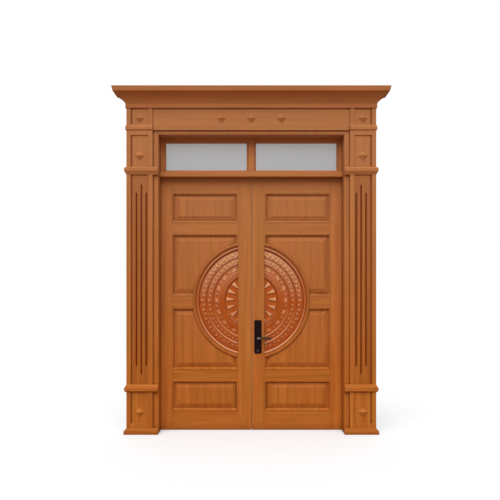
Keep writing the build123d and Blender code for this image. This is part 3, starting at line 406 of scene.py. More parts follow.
@dataclass(frozen=True)
class WoodGrainCoat(Finish):
    """Coated aluminium with a printed wood grain.

    Attributes:
        name: Name of the material.
        grain: Which way the grain runs.
        pale: Colour of the pale bands.
        deep: Colour of the deep bands and streaks.
        warm: Colour of the warm streaks.
        pore: Colour of the pores and of the darkening at the foot.
        top_sheen: Colour of the painted sheen that pales the upper part of the door.
        quirk_shade: Colour of the painted shade in quirks, soffits and sunk fields.
        quirk_shade_share: How much of the painted corner shade covers.
        specular: Specular level of the coat.
        shift: Shift of the grain.
        shade_depths: Depths between which a sunk field gets painted shade.
        shade_shares: Share of the painted shade at each of them.
        edge_shade_run: Run of the painted shade along a field's outer side: start, end, front and
            floor.
        sunk_field: Inner side, outer side and back of the pilasters' sunk fields.
    """

    name: str
    grain: Grain
    pale: Tone = (190, 116, 46)
    deep: Tone = (154, 88, 28)
    warm: Tone = (186, 93, 46)
    pore: Tone = (122, 58, 14)
    top_sheen: Tone = (174, 124, 88)
    quirk_shade: Tone = (92, 36, 8)
    quirk_shade_share: float = 0.85
    specular: float = 0.06
    shift: Point = (0.0, 0.0, 0.0)
    shade_depths: tuple[float, ...] = ()
    shade_shares: tuple[float, ...] = ()
    edge_shade_run: tuple[float, ...] = ()
    sunk_field: Point = (0.8735, 1.0225, -0.061)
    quirk_shade_reach: float = 0.016
    warm_share: float = 0.42
    streak_share: float = 0.4
    pore_share: float = 0.4
    top_sheen_share: float = 0.5
    foot_darkening_share: float = 0.45
    edge_shade_share: float = 0.72
    roughness: Span = (0.42, 0.52)
    pore_depth: float = 0.0004
    pore_strength: float = 0.25

    def paint(self, coat: CoatSheet) -> None:
        """Lay out the grain, the painted sheen towards the top, the darkening at the foot and the
        painted shade in quirks and sunk fields.

        Args:
            coat: Sheet of the material.
        """
        effects = coat.effects
        grain = coat.effect(effects.grain, Vector=coat.stretched(self.grain.value, self.shift))
        drift = coat.effect(effects.drift)
        corner_shade = coat.effect(effects.painted_corner_shade, Reach=self.quirk_shade_reach)
        colour = coat.mix(grain["Bands"], tone(self.deep), tone(self.pale))
        # painted light: the colour leaned to high up is a painted sheen, the corner mask lays
        # painted shade; the foot mask only darkens towards the floor
        for layer, mask, share in (
            (self.warm, grain["Warmth"], self.warm_share),
            (self.deep, grain["Streaks"], self.streak_share),
            (self.pore, grain["Pores"], self.pore_share),
            (self.top_sheen, drift["Share"], self.top_sheen_share),
            (self.pore, drift["Foot"], self.foot_darkening_share),
            (self.quirk_shade, corner_shade["Mask"], self.quirk_shade_share),
        ):
            colour = coat.stain(colour, layer, mask, share)
        # painted shade in the sunk fields: darker with depth and along their outer sides
        if self.shade_depths:
            colour = coat.stain(colour, self.quirk_shade, self._painted_depth_shade(coat), self._in_field(coat))
        if self.edge_shade_run:
            colour = coat.stain(colour, self.quirk_shade, self._painted_edge_shade(coat), self._in_field(coat))
        rough = coat.span(grain["Streaks"], UNIT, self.roughness)
        coat.shade(Base_Color=colour, Roughness=rough, Specular_IOR_Level=self.specular)
        coat.bump(grain["Pores"], self.pore_depth, self.pore_strength)

    def _painted_depth_shade(self, coat: CoatSheet) -> Socket:
        """Give the share of painted shade by how deep a surface lies behind the front.

        Args:
            coat: Sheet of the material.

        Returns:
            Share of the painted shade.
        """
        low, high = self.shade_depths[0], self.shade_depths[-1]
        places = [(depth - low) / (high - low) for depth in self.shade_depths]
        return coat.ramp(coat.span(coat.axis("Y"), (low, high)), places, self.shade_shares)

    def _in_field(self, coat: CoatSheet) -> Socket:
        """Tell the sunk field of a pilaster from its borders, sides and back.

        Args:
            coat: Sheet of the material.

        Returns:
            1 in the field and 0 elsewhere.
        """
        inner, outer, back = self.sunk_field
        past_inner = coat.math("GREATER_THAN", coat.across(), inner)
        beside = coat.math("MULTIPLY", past_inner, coat.math("LESS_THAN", coat.across(), outer))
        return coat.math("MULTIPLY", beside, coat.math("LESS_THAN", coat.axis("Y"), back))

    def _painted_edge_shade(self, coat: CoatSheet) -> Socket:
        """Give the share of painted shade along the outer side of a sunk field.

        Args:
            coat: Sheet of the material.

        Returns:
            Share of the painted shade.
        """
        start, end, front, floor = self.edge_shade_run
        line = coat.span(coat.across(), (start, end), (0.0, self.edge_shade_share))
        return coat.math("MULTIPLY", line, coat.span(coat.axis("Y"), (front, floor)))


@dataclass(frozen=True)
class HeightBlend:
    """A share that changes evenly over the height of the drum.

    Attributes:
        low: Lower end of the change, from the drum's middle.
        high: Upper end of the change.
        shares: Share at the lower and at the upper end.
    """

    low: float
    high: float
    shares: Span


@dataclass(frozen=True)
class CarvedGloss(Finish):
    """Glossy red-brown coat on the carved drum: figure tops paler from wear and painted highlight,
    a painted sheen towards the top, painted highlights and shade on crest and ridges, painted shade
    in grooves and corners.
    """

    name: str
    low: Tone = (112, 34, 4)
    field: Tone = (171, 81, 15)
    flushed: Tone = (160, 74, 30)
    sheen_colour: Tone = (206, 154, 112)
    rub_and_highlight_tone: Tone = (224, 164, 118)
    painted_highlight: Tone = (232, 176, 136)
    middle_z: float = 1.133
    face_end_y: float = 0.1
    sheen_radii: tuple[float, ...] = (0.0, 0.235, 0.272, 0.338, 0.394, 0.458)
    sheen_shares: tuple[float, ...] = (0.0, 0.55, 0.42, 0.85, 0.92, 0.0)
    drum_sheen: HeightBlend = HeightBlend(-0.02, 0.4, UNIT)
    rub_and_highlight: HeightBlend = HeightBlend(-0.3, 0.1, (0.3, 0.78))
    ridge_shine: HeightBlend = HeightBlend(-0.4, -0.05, (0.74, 0.0))
    ridge_shade: HeightBlend = HeightBlend(-0.1, 0.12, (0.0, 0.8))
    groove_shade: HeightBlend = HeightBlend(-0.1, 0.3, (0.45, 0.95))
    foot_crest: HeightBlend = HeightBlend(-0.4, -0.05, (0.78, 0.1))
    top_crest: HeightBlend = HeightBlend(0.1, 0.42, (0.0, 0.4))
    patch_scale: float = 46.0
    patch_reach: Span = (0.42, 0.66)
    patch_shares: Span = (0.0, 0.7)
    mottle_reach: Span = (0.3, 0.6)
    mottle_shares: Span = (0.7, 1.0)
    corner_shade_reach: float = 0.012
    corner_shade_share: float = 0.66
    roughness: Span = (0.3, 0.42)
    specular: float = 0.16

    def paint(self, coat: CoatSheet) -> None:
        """Colour the carving by its figures, ridges and crest, its rings and its height, with
        painted sheen, highlights and shade.

        Args:
            coat: Sheet of the material.
        """
        drift = coat.effect(coat.effects.drift)
        corner_shade = coat.effect(coat.effects.painted_corner_shade, Reach=self.corner_shade_reach)
        patches = coat.noise(coat.place(), self.patch_scale)
        flushed = coat.span(patches, self.patch_reach, self.patch_shares)
        colour = coat.mix(flushed, tone(self.field), tone(self.flushed))
        # painted sheen: the rings pale towards the top of the drum
        front = coat.math("LESS_THAN", coat.axis("Y"), self.face_end_y)
        upper = coat.math("MULTIPLY", self._by_height(coat, self.drum_sheen), front)
        drum_sheen = coat.math("MULTIPLY", self._ring_share(coat), upper)
        mottle = coat.span(patches, self.mottle_reach, self.mottle_shares)
        foot_crest = self._by_height(coat, self.foot_crest)
        crest_shine = coat.math("ADD", foot_crest, self._by_height(coat, self.top_crest))
        ridge = coat.mark("ridge")
        # painted light: highlights on the lower ridges and the crest, shade on the upper ridges, in
        # the groove and in corners; the figure tops mix wear with painted highlight
        for layer, mask, share in (
            (self.sheen_colour, drum_sheen, mottle),
            (self.rub_and_highlight_tone, coat.mark("figure"), self._by_height(coat, self.rub_and_highlight)),
            (self.painted_highlight, ridge, self._by_height(coat, self.ridge_shine)),
            (self.low, ridge, self._by_height(coat, self.ridge_shade)),
            (self.low, coat.mark("groove"), self._by_height(coat, self.groove_shade)),
            (self.painted_highlight, coat.mark("crest"), crest_shine),
            (self.low, corner_shade["Mask"], self.corner_shade_share),
        ):
            colour = coat.stain(colour, layer, mask, share)
        rough = coat.span(drift["Mottle"], UNIT, self.roughness)
        coat.shade(Base_Color=colour, Roughness=rough, Specular_IOR_Level=self.specular)

    def _by_height(self, coat: CoatSheet, blend: HeightBlend) -> Socket:
        """Give a share by the height on the drum."""
        ends = (self.middle_z + blend.low, self.middle_z + blend.high)
        return coat.span(coat.axis("Z"), ends, blend.shares)

    def _ring_share(self, coat: CoatSheet) -> Socket:
        """Give how much painted sheen each ring takes.

        Args:
            coat: Sheet of the material.

        Returns:
            Share of the painted sheen colour.
        """
        flat = {0: coat.place(), 1: (1.0, 0.0, 1.0), 2: (0.0, 0.0, -self.middle_z)}
        arm = coat.add("VectorMath", flat, operation="MULTIPLY_ADD").outputs["Vector"]
        radius = coat.add("VectorMath", {0: arm}, operation="LENGTH").outputs["Value"]
        return coat.ramp(radius, self.sheen_radii, self.sheen_shares, "CONSTANT")


@dataclass(frozen=True)
class FrostedGlass(Finish):
    """Frosted pane, painted a little paler towards its top to offset the shade of the frame head.
    """

    name: str
    upper: Tone = (184, 184, 184)
    lower: Tone = (180, 181, 182)
    speck: Tone = (210, 210, 210)
    speck_share: float = 0.08
    heights: Span = (2.27, 2.52)
    frost_scale: float = 900.0
    frost_reach: Span = (0.3, 0.7)
    roughness: Span = (0.32, 0.45)
    transmission: float = 0.75
    ior: float = 1.5
    frost_depth: float = 0.0002
    frost_strength: float = 0.2

    def paint(self, coat: CoatSheet) -> None:
        """Grade the pane, painted paler at its top, and give it its frosting.

        Args:
            coat: Sheet of the material.
        """
        # painted light: the pane is paler at its top to offset the shade under the frame head
        height = coat.span(coat.axis("Z"), self.heights)
        graded = coat.mix(height, tone(self.lower), tone(self.upper))
        frost = coat.noise(coat.place(), self.frost_scale)
        coat.shade(
            Base_Color=coat.stain(graded, self.speck, frost, self.speck_share),
            Roughness=coat.span(frost, self.frost_reach, self.roughness),
            Transmission_Weight=self.transmission,
            IOR=self.ior,
        )
        coat.bump(frost, self.frost_depth, self.frost_strength)


@dataclass(frozen=True)
class Metal(Finish):
    """Metal with fine lines and faint smudges, bare or coated."""

    name: str
    colour: Tone
    shade: Tone
    roughness: Span
    metallic: float
    specular: float = 0.25
    hub: Tone | None = None
    hub_highlight_ends: Span = (0.0705, 0.0765)
    lines: Point = (20.0, 20.0, 2.0)
    line_depth: float = 0.0001
    line_strength: float = 0.1
    corner_shade_reach: float = 0.006
    corner_shade_share: float = 0.5

    def paint(self, coat: CoatSheet) -> None:
        """Lay out the lines and smudges of the metal, its painted shade in corners and a painted
        highlight on the hub of a lever.

        Args:
            coat: Sheet of the material.
        """
        brushing = coat.effect(coat.effects.brushing, Vector=coat.stretched(self.lines))
        corner_shade = coat.effect(coat.effects.painted_corner_shade, Reach=self.corner_shade_reach)
        lined = coat.mix(brushing["Lines"], tone(self.shade), tone(self.colour))
        # painted shade in the metal's corners
        colour = coat.stain(lined, self.shade, corner_shade["Mask"], self.corner_shade_share)
        # painted highlight on the hub of a lever
        if self.hub is not None:
            near = coat.span(coat.axis("X"), self.hub_highlight_ends, (1.0, 0.0))
            colour = coat.stain(colour, self.hub, near)
        coat.shade(
            Base_Color=colour,
            Roughness=coat.span(brushing["Smudge"], UNIT, self.roughness),
            Metallic=self.metallic,
            Specular_IOR_Level=self.specular,
        )
        coat.bump(brushing["Lines"], self.line_depth, self.line_strength)


@dataclass(frozen=True)
class SoftPlastic(Finish):
    """Rubber or plastic with a fine moulded grain."""

    name: str
    colour: Tone
    worn: Tone
    roughness: Span = (0.7, 0.85)
    specular: float = 0.08
    grain: Point = (30.0, 30.0, 30.0)
    grain_depth: float = 0.0002
    grain_strength: float = 0.3

    def paint(self, coat: CoatSheet) -> None:
        """Lay out the moulded grain and the worn patches.

        Args:
            coat: Sheet of the material.
        """
        brushing = coat.effect(coat.effects.brushing, Vector=coat.stretched(self.grain))
        coat.shade(
            Base_Color=coat.mix(brushing["Smudge"], tone(self.colour), tone(self.worn)),
            Roughness=coat.span(brushing["Smudge"], UNIT, self.roughness),
            Specular_IOR_Level=self.specular,
        )
        coat.bump(brushing["Lines"], self.grain_depth, self.grain_strength)


# painted shade along the outer sides of the pilasters' sunk fields; the darkest colour of each wood
# below is painted shade for its quirks, soffits and inner corners
OUTER_EDGE_SHADE = (1.001, 1.019, -0.0785, -0.0735)
UPRIGHT_WOOD = WoodGrainCoat("upright_wood_grain", Grain.UPRIGHT)
# painted shade: the flutes darken with their depth
FLUTED_WOOD = WoodGrainCoat(
    "fluted_wood_grain", Grain.UPRIGHT, quirk_shade=(104, 40, 8), edge_shade_run=OUTER_EDGE_SHADE,
    shade_depths=(-0.0795, -0.0722, -0.0706, -0.066), shade_shares=(0.0, 0.2, 0.24, 0.9),
)
SUNK_WOOD = WoodGrainCoat(
    "sunk_field_wood_grain", Grain.UPRIGHT, quirk_shade=(104, 40, 8), quirk_shade_share=0.5,
    edge_shade_run=OUTER_EDGE_SHADE, shift=(1.3, 0.0, 0.4),
)
RIM_WOOD = WoodGrainCoat(
    "rim_wood_grain", Grain.UPRIGHT, (174, 98, 32), (150, 80, 22), quirk_shade=(138, 66, 20)
)
MEETING_WOOD = WoodGrainCoat(
    "meeting_wood_grain", Grain.UPRIGHT, (193, 121, 54), (157, 93, 36), specular=0.0
)
# brighter copy of the grain: painted light that offsets the shade of casing and jamb on the hinge
# stiles
HINGE_STILE_LIT_WOOD = WoodGrainCoat(
    "hinge_stile_painted_light_wood", Grain.UPRIGHT, (204, 123, 50), (168, 95, 32)
)
# brighter copy of the grain: painted light that lifts the studs' shaded lower facets
LIT_STUD_WOOD = WoodGrainCoat(
    "stud_painted_light_wood", Grain.UPRIGHT, (202, 128, 58), (170, 101, 42), quirk_shade=(124, 58, 18)
)
LEVEL_WOOD = WoodGrainCoat("level_wood_grain", Grain.LEVEL)
CORNICE_WOOD = WoodGrainCoat(
    "cornice_wood_grain", Grain.LEVEL, (198, 117, 52), (162, 89, 34), quirk_shade=(116, 44, 10),
    specular=0.0,
)
FRAME_UPRIGHT_WOOD = WoodGrainCoat(
    "frame_upright_wood_grain", Grain.UPRIGHT, quirk_shade=(98, 34, 6), specular=0.0,
    shift=(0.7, 0.0, 2.2),
)
FRAME_LEVEL_WOOD = WoodGrainCoat(
    "frame_level_wood_grain", Grain.LEVEL, quirk_shade=(98, 34, 6), specular=0.0, shift=(0.4, 0.0, 1.1)
)
# brighter copy of the grain with less corner shade: painted light that offsets the shade on the
# transom frame, mullion and beads
TRANSOM_LIT_WOOD = WoodGrainCoat(
    "transom_painted_light_wood", Grain.LEVEL, (212, 134, 70), (176, 104, 48), quirk_shade=(146, 76, 36),
    quirk_shade_share=0.4, specular=0.0, shift=(0.4, 0.0, 1.1),
)
PANEL_WOOD = WoodGrainCoat(
    "panel_wood_grain", Grain.UPRIGHT, (188, 112, 46), (152, 86, 28), shift=(3.1, 0.0, 1.7)
)
DRUM_GLOSS = CarvedGloss("carved_drum_gloss")
PANE_GLASS = FrostedGlass("frosted_pane")
BLACK_COAT = Metal(
    "black_handle_coat", (28, 12, 16), (18, 7, 10), (0.45, 0.59), 0.0, specular=0.05
)
DARK_STEEL = Metal(
    "dark_lever_steel", (84, 62, 50), (56, 40, 32), (0.3, 0.44), 1.0, hub=(110, 106, 103)
)
SATIN_STEEL = Metal("satin_cylinder_steel", (70, 60, 60), (48, 40, 40), (0.34, 0.48), 1.0)
ZINC_STEEL = Metal("zinc_plated_steel", (150, 150, 148), (118, 118, 114), (0.36, 0.5), 1.0)
BRONZE_COAT = Metal("bronze_hinge_coat", (122, 76, 42), (88, 52, 28), (0.38, 0.52), 0.6)
SEAL_RUBBER = SoftPlastic("brown_seal_rubber", (142, 80, 36), (156, 92, 46))
PLUG_PLASTIC = SoftPlastic("end_plug_plastic", (92, 58, 36), (106, 70, 46), (0.6, 0.75))


@dataclass(frozen=True)
class SoftEdges:
    """Small rounding that makes the edges of a solid catch the light."""

    width: float = 0.0016
    segments: int = 2
    sharp_angle: float = math.radians(28)
    weld_reach: float = 1e-5

    def apply(self, piece: bpy.types.Object) -> None:
        """Put the rounding on a solid, without touching its mesh.

        Args:
            piece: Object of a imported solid.
        """
        weld = piece.modifiers.new("weld", "WELD")
        weld.merge_threshold = self.weld_reach
        bevel = piece.modifiers.new("soft_edges", "BEVEL")
        bevel.width = self.width
        bevel.segments = self.segments
        bevel.limit_method = "ANGLE"
        bevel.angle_limit = self.sharp_angle


SOFT = SoftEdges()
SLIGHTLY_SOFT = SoftEdges(width=0.0012)


@dataclass
class Assembly:
    """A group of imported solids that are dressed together.

    Attributes:
        effects: Shared node groups.
        prefix: Start of the names of all its solids.
    """

    effects: SharedEffects
    prefix: str = ""

    def wear(self, finish: Finish, *nodes: str, edges: SoftEdges | None = None) -> None:
        """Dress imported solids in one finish.

        Args:
            finish: Finish to give them.
            *nodes: Names of the solids, without the prefix.
            edges: Rounding of their edges, if any.
        """
        for node in nodes:
            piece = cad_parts[self.prefix + node]
            piece.data.materials.clear()
            piece.data.materials.append(finish.material(self.effects))
            if edges is not None:
                edges.apply(piece)
            LOG.info("dressed %s in %s", self.prefix + node, finish.name)


class Surround(Assembly):
    """Pilasters, frieze, cornice, studs and casings around the doorway."""

    def dress(self) -> None:
        """Give every member its grain."""
        self.wear(FLUTED_WOOD, "pilaster_shafts")
        self.wear(SUNK_WOOD, "plinths", "end_blocks", edges=SOFT)
        self.wear(LEVEL_WOOD, "pilaster_mouldings", "frieze_board", edges=SOFT)
        self.wear(CORNICE_WOOD, "cornice")
        self.wear(UPRIGHT_WOOD, "casings", edges=SOFT)
        self.wear(LIT_STUD_WOOD, "diamond_studs", edges=SOFT)


class DoorFrame(Assembly):
    """Jambs, head, transom bar and transom light."""

    def dress(self) -> None:
        """Give the members their grain, the panes their frosting and the fittings their metal."""
        self.wear(FRAME_UPRIGHT_WOOD, "left_jamb", "right_jamb", edges=SOFT)
        self.wear(FRAME_LEVEL_WOOD, "frame_head", "transom_bar", edges=SOFT)
        self.wear(TRANSOM_LIT_WOOD, "transom_frame", "transom_mullion", "glazing_beads", edges=SOFT)
        self.wear(PANE_GLASS, "glass_panes")
        self.wear(SEAL_RUBBER, "frame_seals")
        self.wear(BRONZE_COAT, "hinge_frame_plates")
        self.wear(ZINC_STEEL, "hinge_pins")


class Leaf(Assembly):
    """One leaf with its stiles, rails, panels and seals."""

    def dress(self) -> None:
        """Give the leaf its grain along each member."""
        self.wear(HINGE_STILE_LIT_WOOD, "hinge_stile", edges=SOFT)
        self.wear(MEETING_WOOD, "meeting_stile")
        self.wear(LEVEL_WOOD, "top_rail", "cross_rails", "bottom_rail", edges=SOFT)
        self.wear(LEVEL_WOOD, "middle_rail")
        self.wear(PANEL_WOOD, "small_panels", "large_panels", edges=SOFT)
        self.wear(UPRIGHT_WOOD, "mouldings", edges=SOFT)
        self.wear(RIM_WOOD, "medallion_rim")
        self.wear(DRUM_GLOSS, "medallion")
        self.wear(BRONZE_COAT, "hinge_plates")
        self.wear(PLUG_PLASTIC, "end_caps")
        self.wear(SEAL_RUBBER, "seals")


class LockSet(Assembly):
    """Lever lock of the right leaf and the bolts of the left one."""

    def dress(self) -> None:
        """Give plates, levers and bolts their metal."""
        self.wear(BLACK_COAT, "handle_plates", edges=SLIGHTLY_SOFT)
        self.wear(DARK_STEEL, "lever_handles", edges=SLIGHTLY_SOFT)
        self.wear(SATIN_STEEL, "lock_cylinder", "thumb_turn")
        self.wear(ZINC_STEEL, "lock_case", "lever_spindle", "dead_bolt", "upper_rod", "lower_rod")
        self.wear(ZINC_STEEL, "strike_plate", "flush_bolt_cases")
        self.wear(ZINC_STEEL, "upper_flush_bolt", "lower_flush_bolt")


@dataclass
class BuiltPiece:
    """A piece that is built here and rides on one of the bodies."""

    effects: SharedEffects

    def add_piece(
        self, build: BMesh, name: str, finish: Finish, body: str, slot: str
    ) -> bpy.types.Object:
        """Turn a finished mesh into a dressed piece.

        Args:
            build: Mesh, which is freed.
            name: Name of the piece.
            finish: Finish to give it.
            body: Body that it rides on.
            slot: Material slot that it belongs to; not used.

        Returns:
            The piece.
        """
        bmesh.ops.recalc_face_normals(build, faces=build.faces[:])
        mesh = bpy.data.meshes.new(name)
        build.to_mesh(mesh)
        build.free()
        mesh.materials.append(finish.material(self.effects))
        piece = bpy.data.objects.new(name, mesh)
        bpy.context.scene.collection.objects.link(piece)
        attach(piece, body)
        LOG.info("built %s with %d faces", name, len(mesh.polygons))
        return piece


@dataclass
class FluteStops(BuiltPiece):
    """Stops that close the upper ends of the pilasters' flutes, each cut to a point."""

    places: tuple[Span, ...] = (
        (-0.8915, 2.06), (-0.933, 2.128), (-0.9745, 2.06), (0.8915, 2.06), (0.933, 2.128),
    )
    half_width: float = 0.01
    front_y: float = -0.071
    depth: float = 0.008
    point: float = 0.022
    shaft_top: float = 2.2

    def build(self) -> None:
        """Set all stops as one piece."""
        build = bmesh.new()
        for x, tip_z in self.places:
            self._stop(build, x, tip_z)
        self.add_piece(build, "flute_stops", FLUTED_WOOD, "frame", "wood_grain_coating")

    def _stop(self, build: BMesh, x: float, tip_z: float) -> None:
        """Fill one flute from its point to the top of the shaft.

        Args:
            build: Mesh to add it to.
            x: Middle of the flute.
            tip_z: Height of its point.
        """
        corners = bmesh.ops.create_circle(build, cap_ends=True, radius=1.0, segments=3)["verts"]
        # the triangle's first corner lies in the bottom of the flute, the other two on its edges
        half_base, height, below_middle = math.sin(math.radians(60)), 1.5, 0.5
        low_z = tip_z - self.point
        shape = (
            Matrix.Translation((x, self.front_y, low_z))
            @ Matrix.Diagonal((self.half_width / half_base, self.depth / height, 1.0, 1.0))
            @ Matrix.Translation((0.0, below_middle, 0.0))
        )
        bmesh.ops.transform(build, matrix=shape, verts=corners)
        sides = corners[0].link_faces[0].edges
        lip = min(sides, key=lambda edge: sum(vert.co.y for vert in edge.verts))
        halved = bmesh.ops.bisect_edges(build, edges=[lip], cuts=1)["geom_split"]
        tip = only(BMVert, halved)[0]
        face = tip.link_faces[0]
        bottom = max(face.verts, key=lambda vert: vert.co.y)
        raised = bmesh.ops.extrude_face_region(build, geom=[face])["geom"]
        up = (0.0, 0.0, self.shaft_top - low_z)
        bmesh.ops.translate(build, verts=only(BMVert, raised), vec=up)
        bmesh.ops.connect_vert_pair(build, verts=[tip, bottom])
        bmesh.ops.translate(build, verts=[tip], vec=(0.0, 0.0, self.point))


class Motif(Enum):
    """Small carved figure: the number of its corners and the turn of the first one in degrees."""

    WEDGE = (3, 90)
    LOZENGE = (4, 90)
    BLOCK = (4, 45)
    DOT = (10, 0)


class Ring(Enum):
    """Ring of the drum, as the share of the radius at its middle."""

    OUTER = 0.875
    SECOND = 0.755
    INNER = 0.626
    STAR = 0.398


@dataclass(frozen=True)
class MotifRow:
    """One row of equal figures around the drum, standing on its ground.

    Attributes:
        ring: Ring that it stands in.
        motif: Figure that is repeated.
        count: How often it stands around the whole drum.
        offset: Distance of its middle from the ring's middle, outwards.
        length: Half of its size along the radius.
        width: Half of its size across the radius.
        rise: How far it stands proud of the ground.
        turn: How far the figure is turned in its own plane, in degrees.
        phase: Share of one spacing by which the row is shifted.
        top: Size of its top as a share of its foot.
        mark: How far its top is paled, partly wear and partly painted highlight.
    """

    ring: Ring
    motif: Motif
    count: int
    offset: float
    length: float
    width: float
    rise: float
    turn: float = 0.0
    phase: float = 0.0
    top: float = 0.6
    mark: float = 0.5


MOTIF_ROWS = (
    MotifRow(Ring.OUTER, Motif.BLOCK, 32, 0.005, 0.022, 0.016, 0.0068, 24, 0.0, 0.72, 0.6),
    MotifRow(Ring.OUTER, Motif.LOZENGE, 32, -0.006, 0.019, 0.0125, 0.0078, 52, 0.46, 0.72, 0.78),
    MotifRow(Ring.OUTER, Motif.WEDGE, 32, 0.011, 0.011, 0.009, 0.006, 150, 0.68),
    MotifRow(Ring.OUTER, Motif.DOT, 32, -0.014, 0.0058, 0.0058, 0.005, 0, 0.08),
    MotifRow(Ring.SECOND, Motif.BLOCK, 28, 0.003, 0.018, 0.0165, 0.0066, -28, 0.0, 0.72, 0.56),
    MotifRow(Ring.SECOND, Motif.LOZENGE, 28, -0.002, 0.0165, 0.011, 0.0078, 34, 0.5, 0.72, 0.74),
    MotifRow(Ring.SECOND, Motif.DOT, 28, 0.0105, 0.0052, 0.0052, 0.005, 0, 0.74),
    MotifRow(Ring.SECOND, Motif.DOT, 28, -0.0105, 0.0052, 0.0052, 0.005, 0, 0.22, mark=0.4),
    MotifRow(Ring.INNER, Motif.BLOCK, 18, -0.001, 0.021, 0.032, 0.0045, -12, 0.0, 0.8, 0.62),
    MotifRow(Ring.INNER, Motif.WEDGE, 18, 0.003, 0.02, 0.0145, 0.0066, 40, 0.48, 0.72, 0.7),
    MotifRow(Ring.INNER, Motif.LOZENGE, 36, 0.015, 0.0062, 0.009, 0.005, 0, 0.3),
    MotifRow(Ring.INNER, Motif.DOT, 36, -0.0145, 0.0055, 0.0055, 0.005, 0, 0.6),
    MotifRow(Ring.STAR, Motif.WEDGE, 18, 0.0, 0.058, 0.0222, 0.0095, 0, -0.16, 0.86, 1.0),
)


@dataclass
class DrumMedallion(BuiltPiece):
    """One carved half of the drum, made as the right half and mirrored for the left one.

    Attributes:
        side: Side of the leaf.
        sign: Its direction along X.
        crest_section: Border crest: share of the radius, depth behind the top and crest mark.
        border_section: Ground inside the crest: share of the radius and rise.
        ridges: Share of the radius, half width, rise and mark of each ridge.
        ridge_section: Section of a ridge, as shares of its half width and rise.
        groove_shares: Shares of the radius between which the ground counts as the border groove.
    """

    side: str
    sign: int
    middle_z: float = 1.133
    radius: float = 0.4835
    cut_x: float = 0.1153
    face_y: float = 0.0915
    floor_y: float = 0.0965
    crest_y: float = 0.0842
    flange_radius: float = 0.4915
    flange_y: float = 0.101
    back_y: float = 0.115
    core_share: float = 0.2
    crest_section: tuple[Point, ...] = (
        (0.996, 0.0028, 0.0), (0.988, 0.0006, 0.5), (0.978, 0.0, 1.0), (0.967, 0.0006, 0.6),
        (0.956, 0.003, 0.0),
    )
    border_section: tuple[Span, ...] = ((0.948, 0.0025), (0.942, 0.0), (0.932, 0.0), (0.92, 0.0))
    ridges: tuple[tuple[float, float, float, float], ...] = (
        (0.815, 0.0085, 0.0066, 1.0), (0.6956, 0.0085, 0.0066, 1.0), (0.556, 0.006, 0.004, 0.0),
        (0.534, 0.0045, 0.003, 0.0), (0.5125, 0.0045, 0.003, 0.0), (0.478, 0.0085, 0.0066, 1.0),
    )
    ridge_section: tuple[Span, ...] = (
        (1.0, 0.0), (0.62, 0.42), (0.25, 0.94), (0.0, 1.0), (-0.25, 0.94), (-0.62, 0.42),
        (-1.0, 0.0),
    )
    groove_shares: Span = (0.93, 0.95)
    steps: int = 216
    foot_sink: float = 0.0004
    sharp_angle: float = math.radians(38)
    merge_reach: float = 1e-6

    def build(self) -> None:
        """Carve the half drum and put it in place of the plain one."""
        build = bmesh.new()
        for mark in ("figure", "ridge", "crest", "groove"):
            build.verts.layers.float.new(mark)
        self._disc(build)
        for row in MOTIF_ROWS:
            self._row(build, row)
        halved = bmesh.ops.bisect_plane(
            build, geom=build.verts[:] + build.edges[:] + build.faces[:],
            plane_co=(self.cut_x, 0.0, 0.0), plane_no=(-1.0, 0.0, 0.0), clear_outer=True,
        )
        bmesh.ops.edgeloop_fill(build, edges=only(BMEdge, halved["geom_cut"]))
        bmesh.ops.scale(build, vec=(self.sign, 1.0, 1.0), verts=build.verts[:])
        bmesh.ops.remove_doubles(build, verts=build.verts[:], dist=self.merge_reach)
        name, body = f"{self.side}_carved_drum", f"{self.side}_leaf"
        piece = self.add_piece(build, name, DRUM_GLOSS, body, "carved_drum")
        for face in piece.data.polygons:
            face.use_smooth = True
        piece.data.set_sharp_from_angle(angle=self.sharp_angle)
        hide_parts(f"{self.side}_medallion")

    def _spin(self, build: BMesh, geom: list, angle: float, steps: int, **options: bool) -> None:
        """Turn elements about the drum's axis by an angle in radians, in equal steps."""
        bmesh.ops.spin(
            build, geom=geom, cent=(0.0, 0.0, self.middle_z), axis=(0.0, 1.0, 0.0), angle=angle,
            steps=steps, **options,
        )

    def _profile(self) -> list[tuple[float, float, float, float]]:
        """Give the turned profile of the disc, from its back over its edge and its face inwards.

        Returns:
            Radius, depth, ridge mark and crest mark of each point.
        """
        core = self.core_share * self.radius
        profile = [
            (core, self.back_y, 0.0, 0.0), (self.flange_radius, self.back_y, 0.0, 0.0),
            (self.flange_radius, self.flange_y, 0.0, 0.0), (self.radius, self.flange_y, 0.0, 0.0),
            (self.radius, self.face_y, 0.0, 0.0),
        ]
        for share, depth, mark in self.crest_section:
            profile.append((share * self.radius, self.crest_y + depth, 0.0, mark))
        for share, rise in self.border_section:
            profile.append((share * self.radius, self.floor_y - rise, 0.0, 0.0))
        for share, half, rise, mark in self.ridges:
            profile += [
                (share * self.radius + half * across, self.floor_y - rise * up, up * mark, 0.0)
                for across, up in self.ridge_section
            ]
        return [*profile, (core, self.floor_y, 0.0, 0.0)]

    def _disc(self, build: BMesh) -> None:
        """Turn the disc with its crest and ridges.

        Args:
            build: Mesh to add it to.
        """
        ridge, crest, groove = (
            build.verts.layers.float[mark] for mark in ("ridge", "crest", "groove")
        )
        groove_from, groove_to = self.groove_shares
        line = []
        for radius, y, ridge_mark, crest_mark in self._profile():
            vert = build.verts.new((radius, y, self.middle_z))
            vert[ridge] = ridge_mark
            vert[crest] = crest_mark
            vert[groove] = float(groove_from < radius / self.radius < groove_to)
            line.append(vert)
        edges = [build.edges.new(pair) for pair in zip(line, line[1:] + line[:1])]
        self._spin(build, line + edges, math.tau, self.steps, use_merge=True)

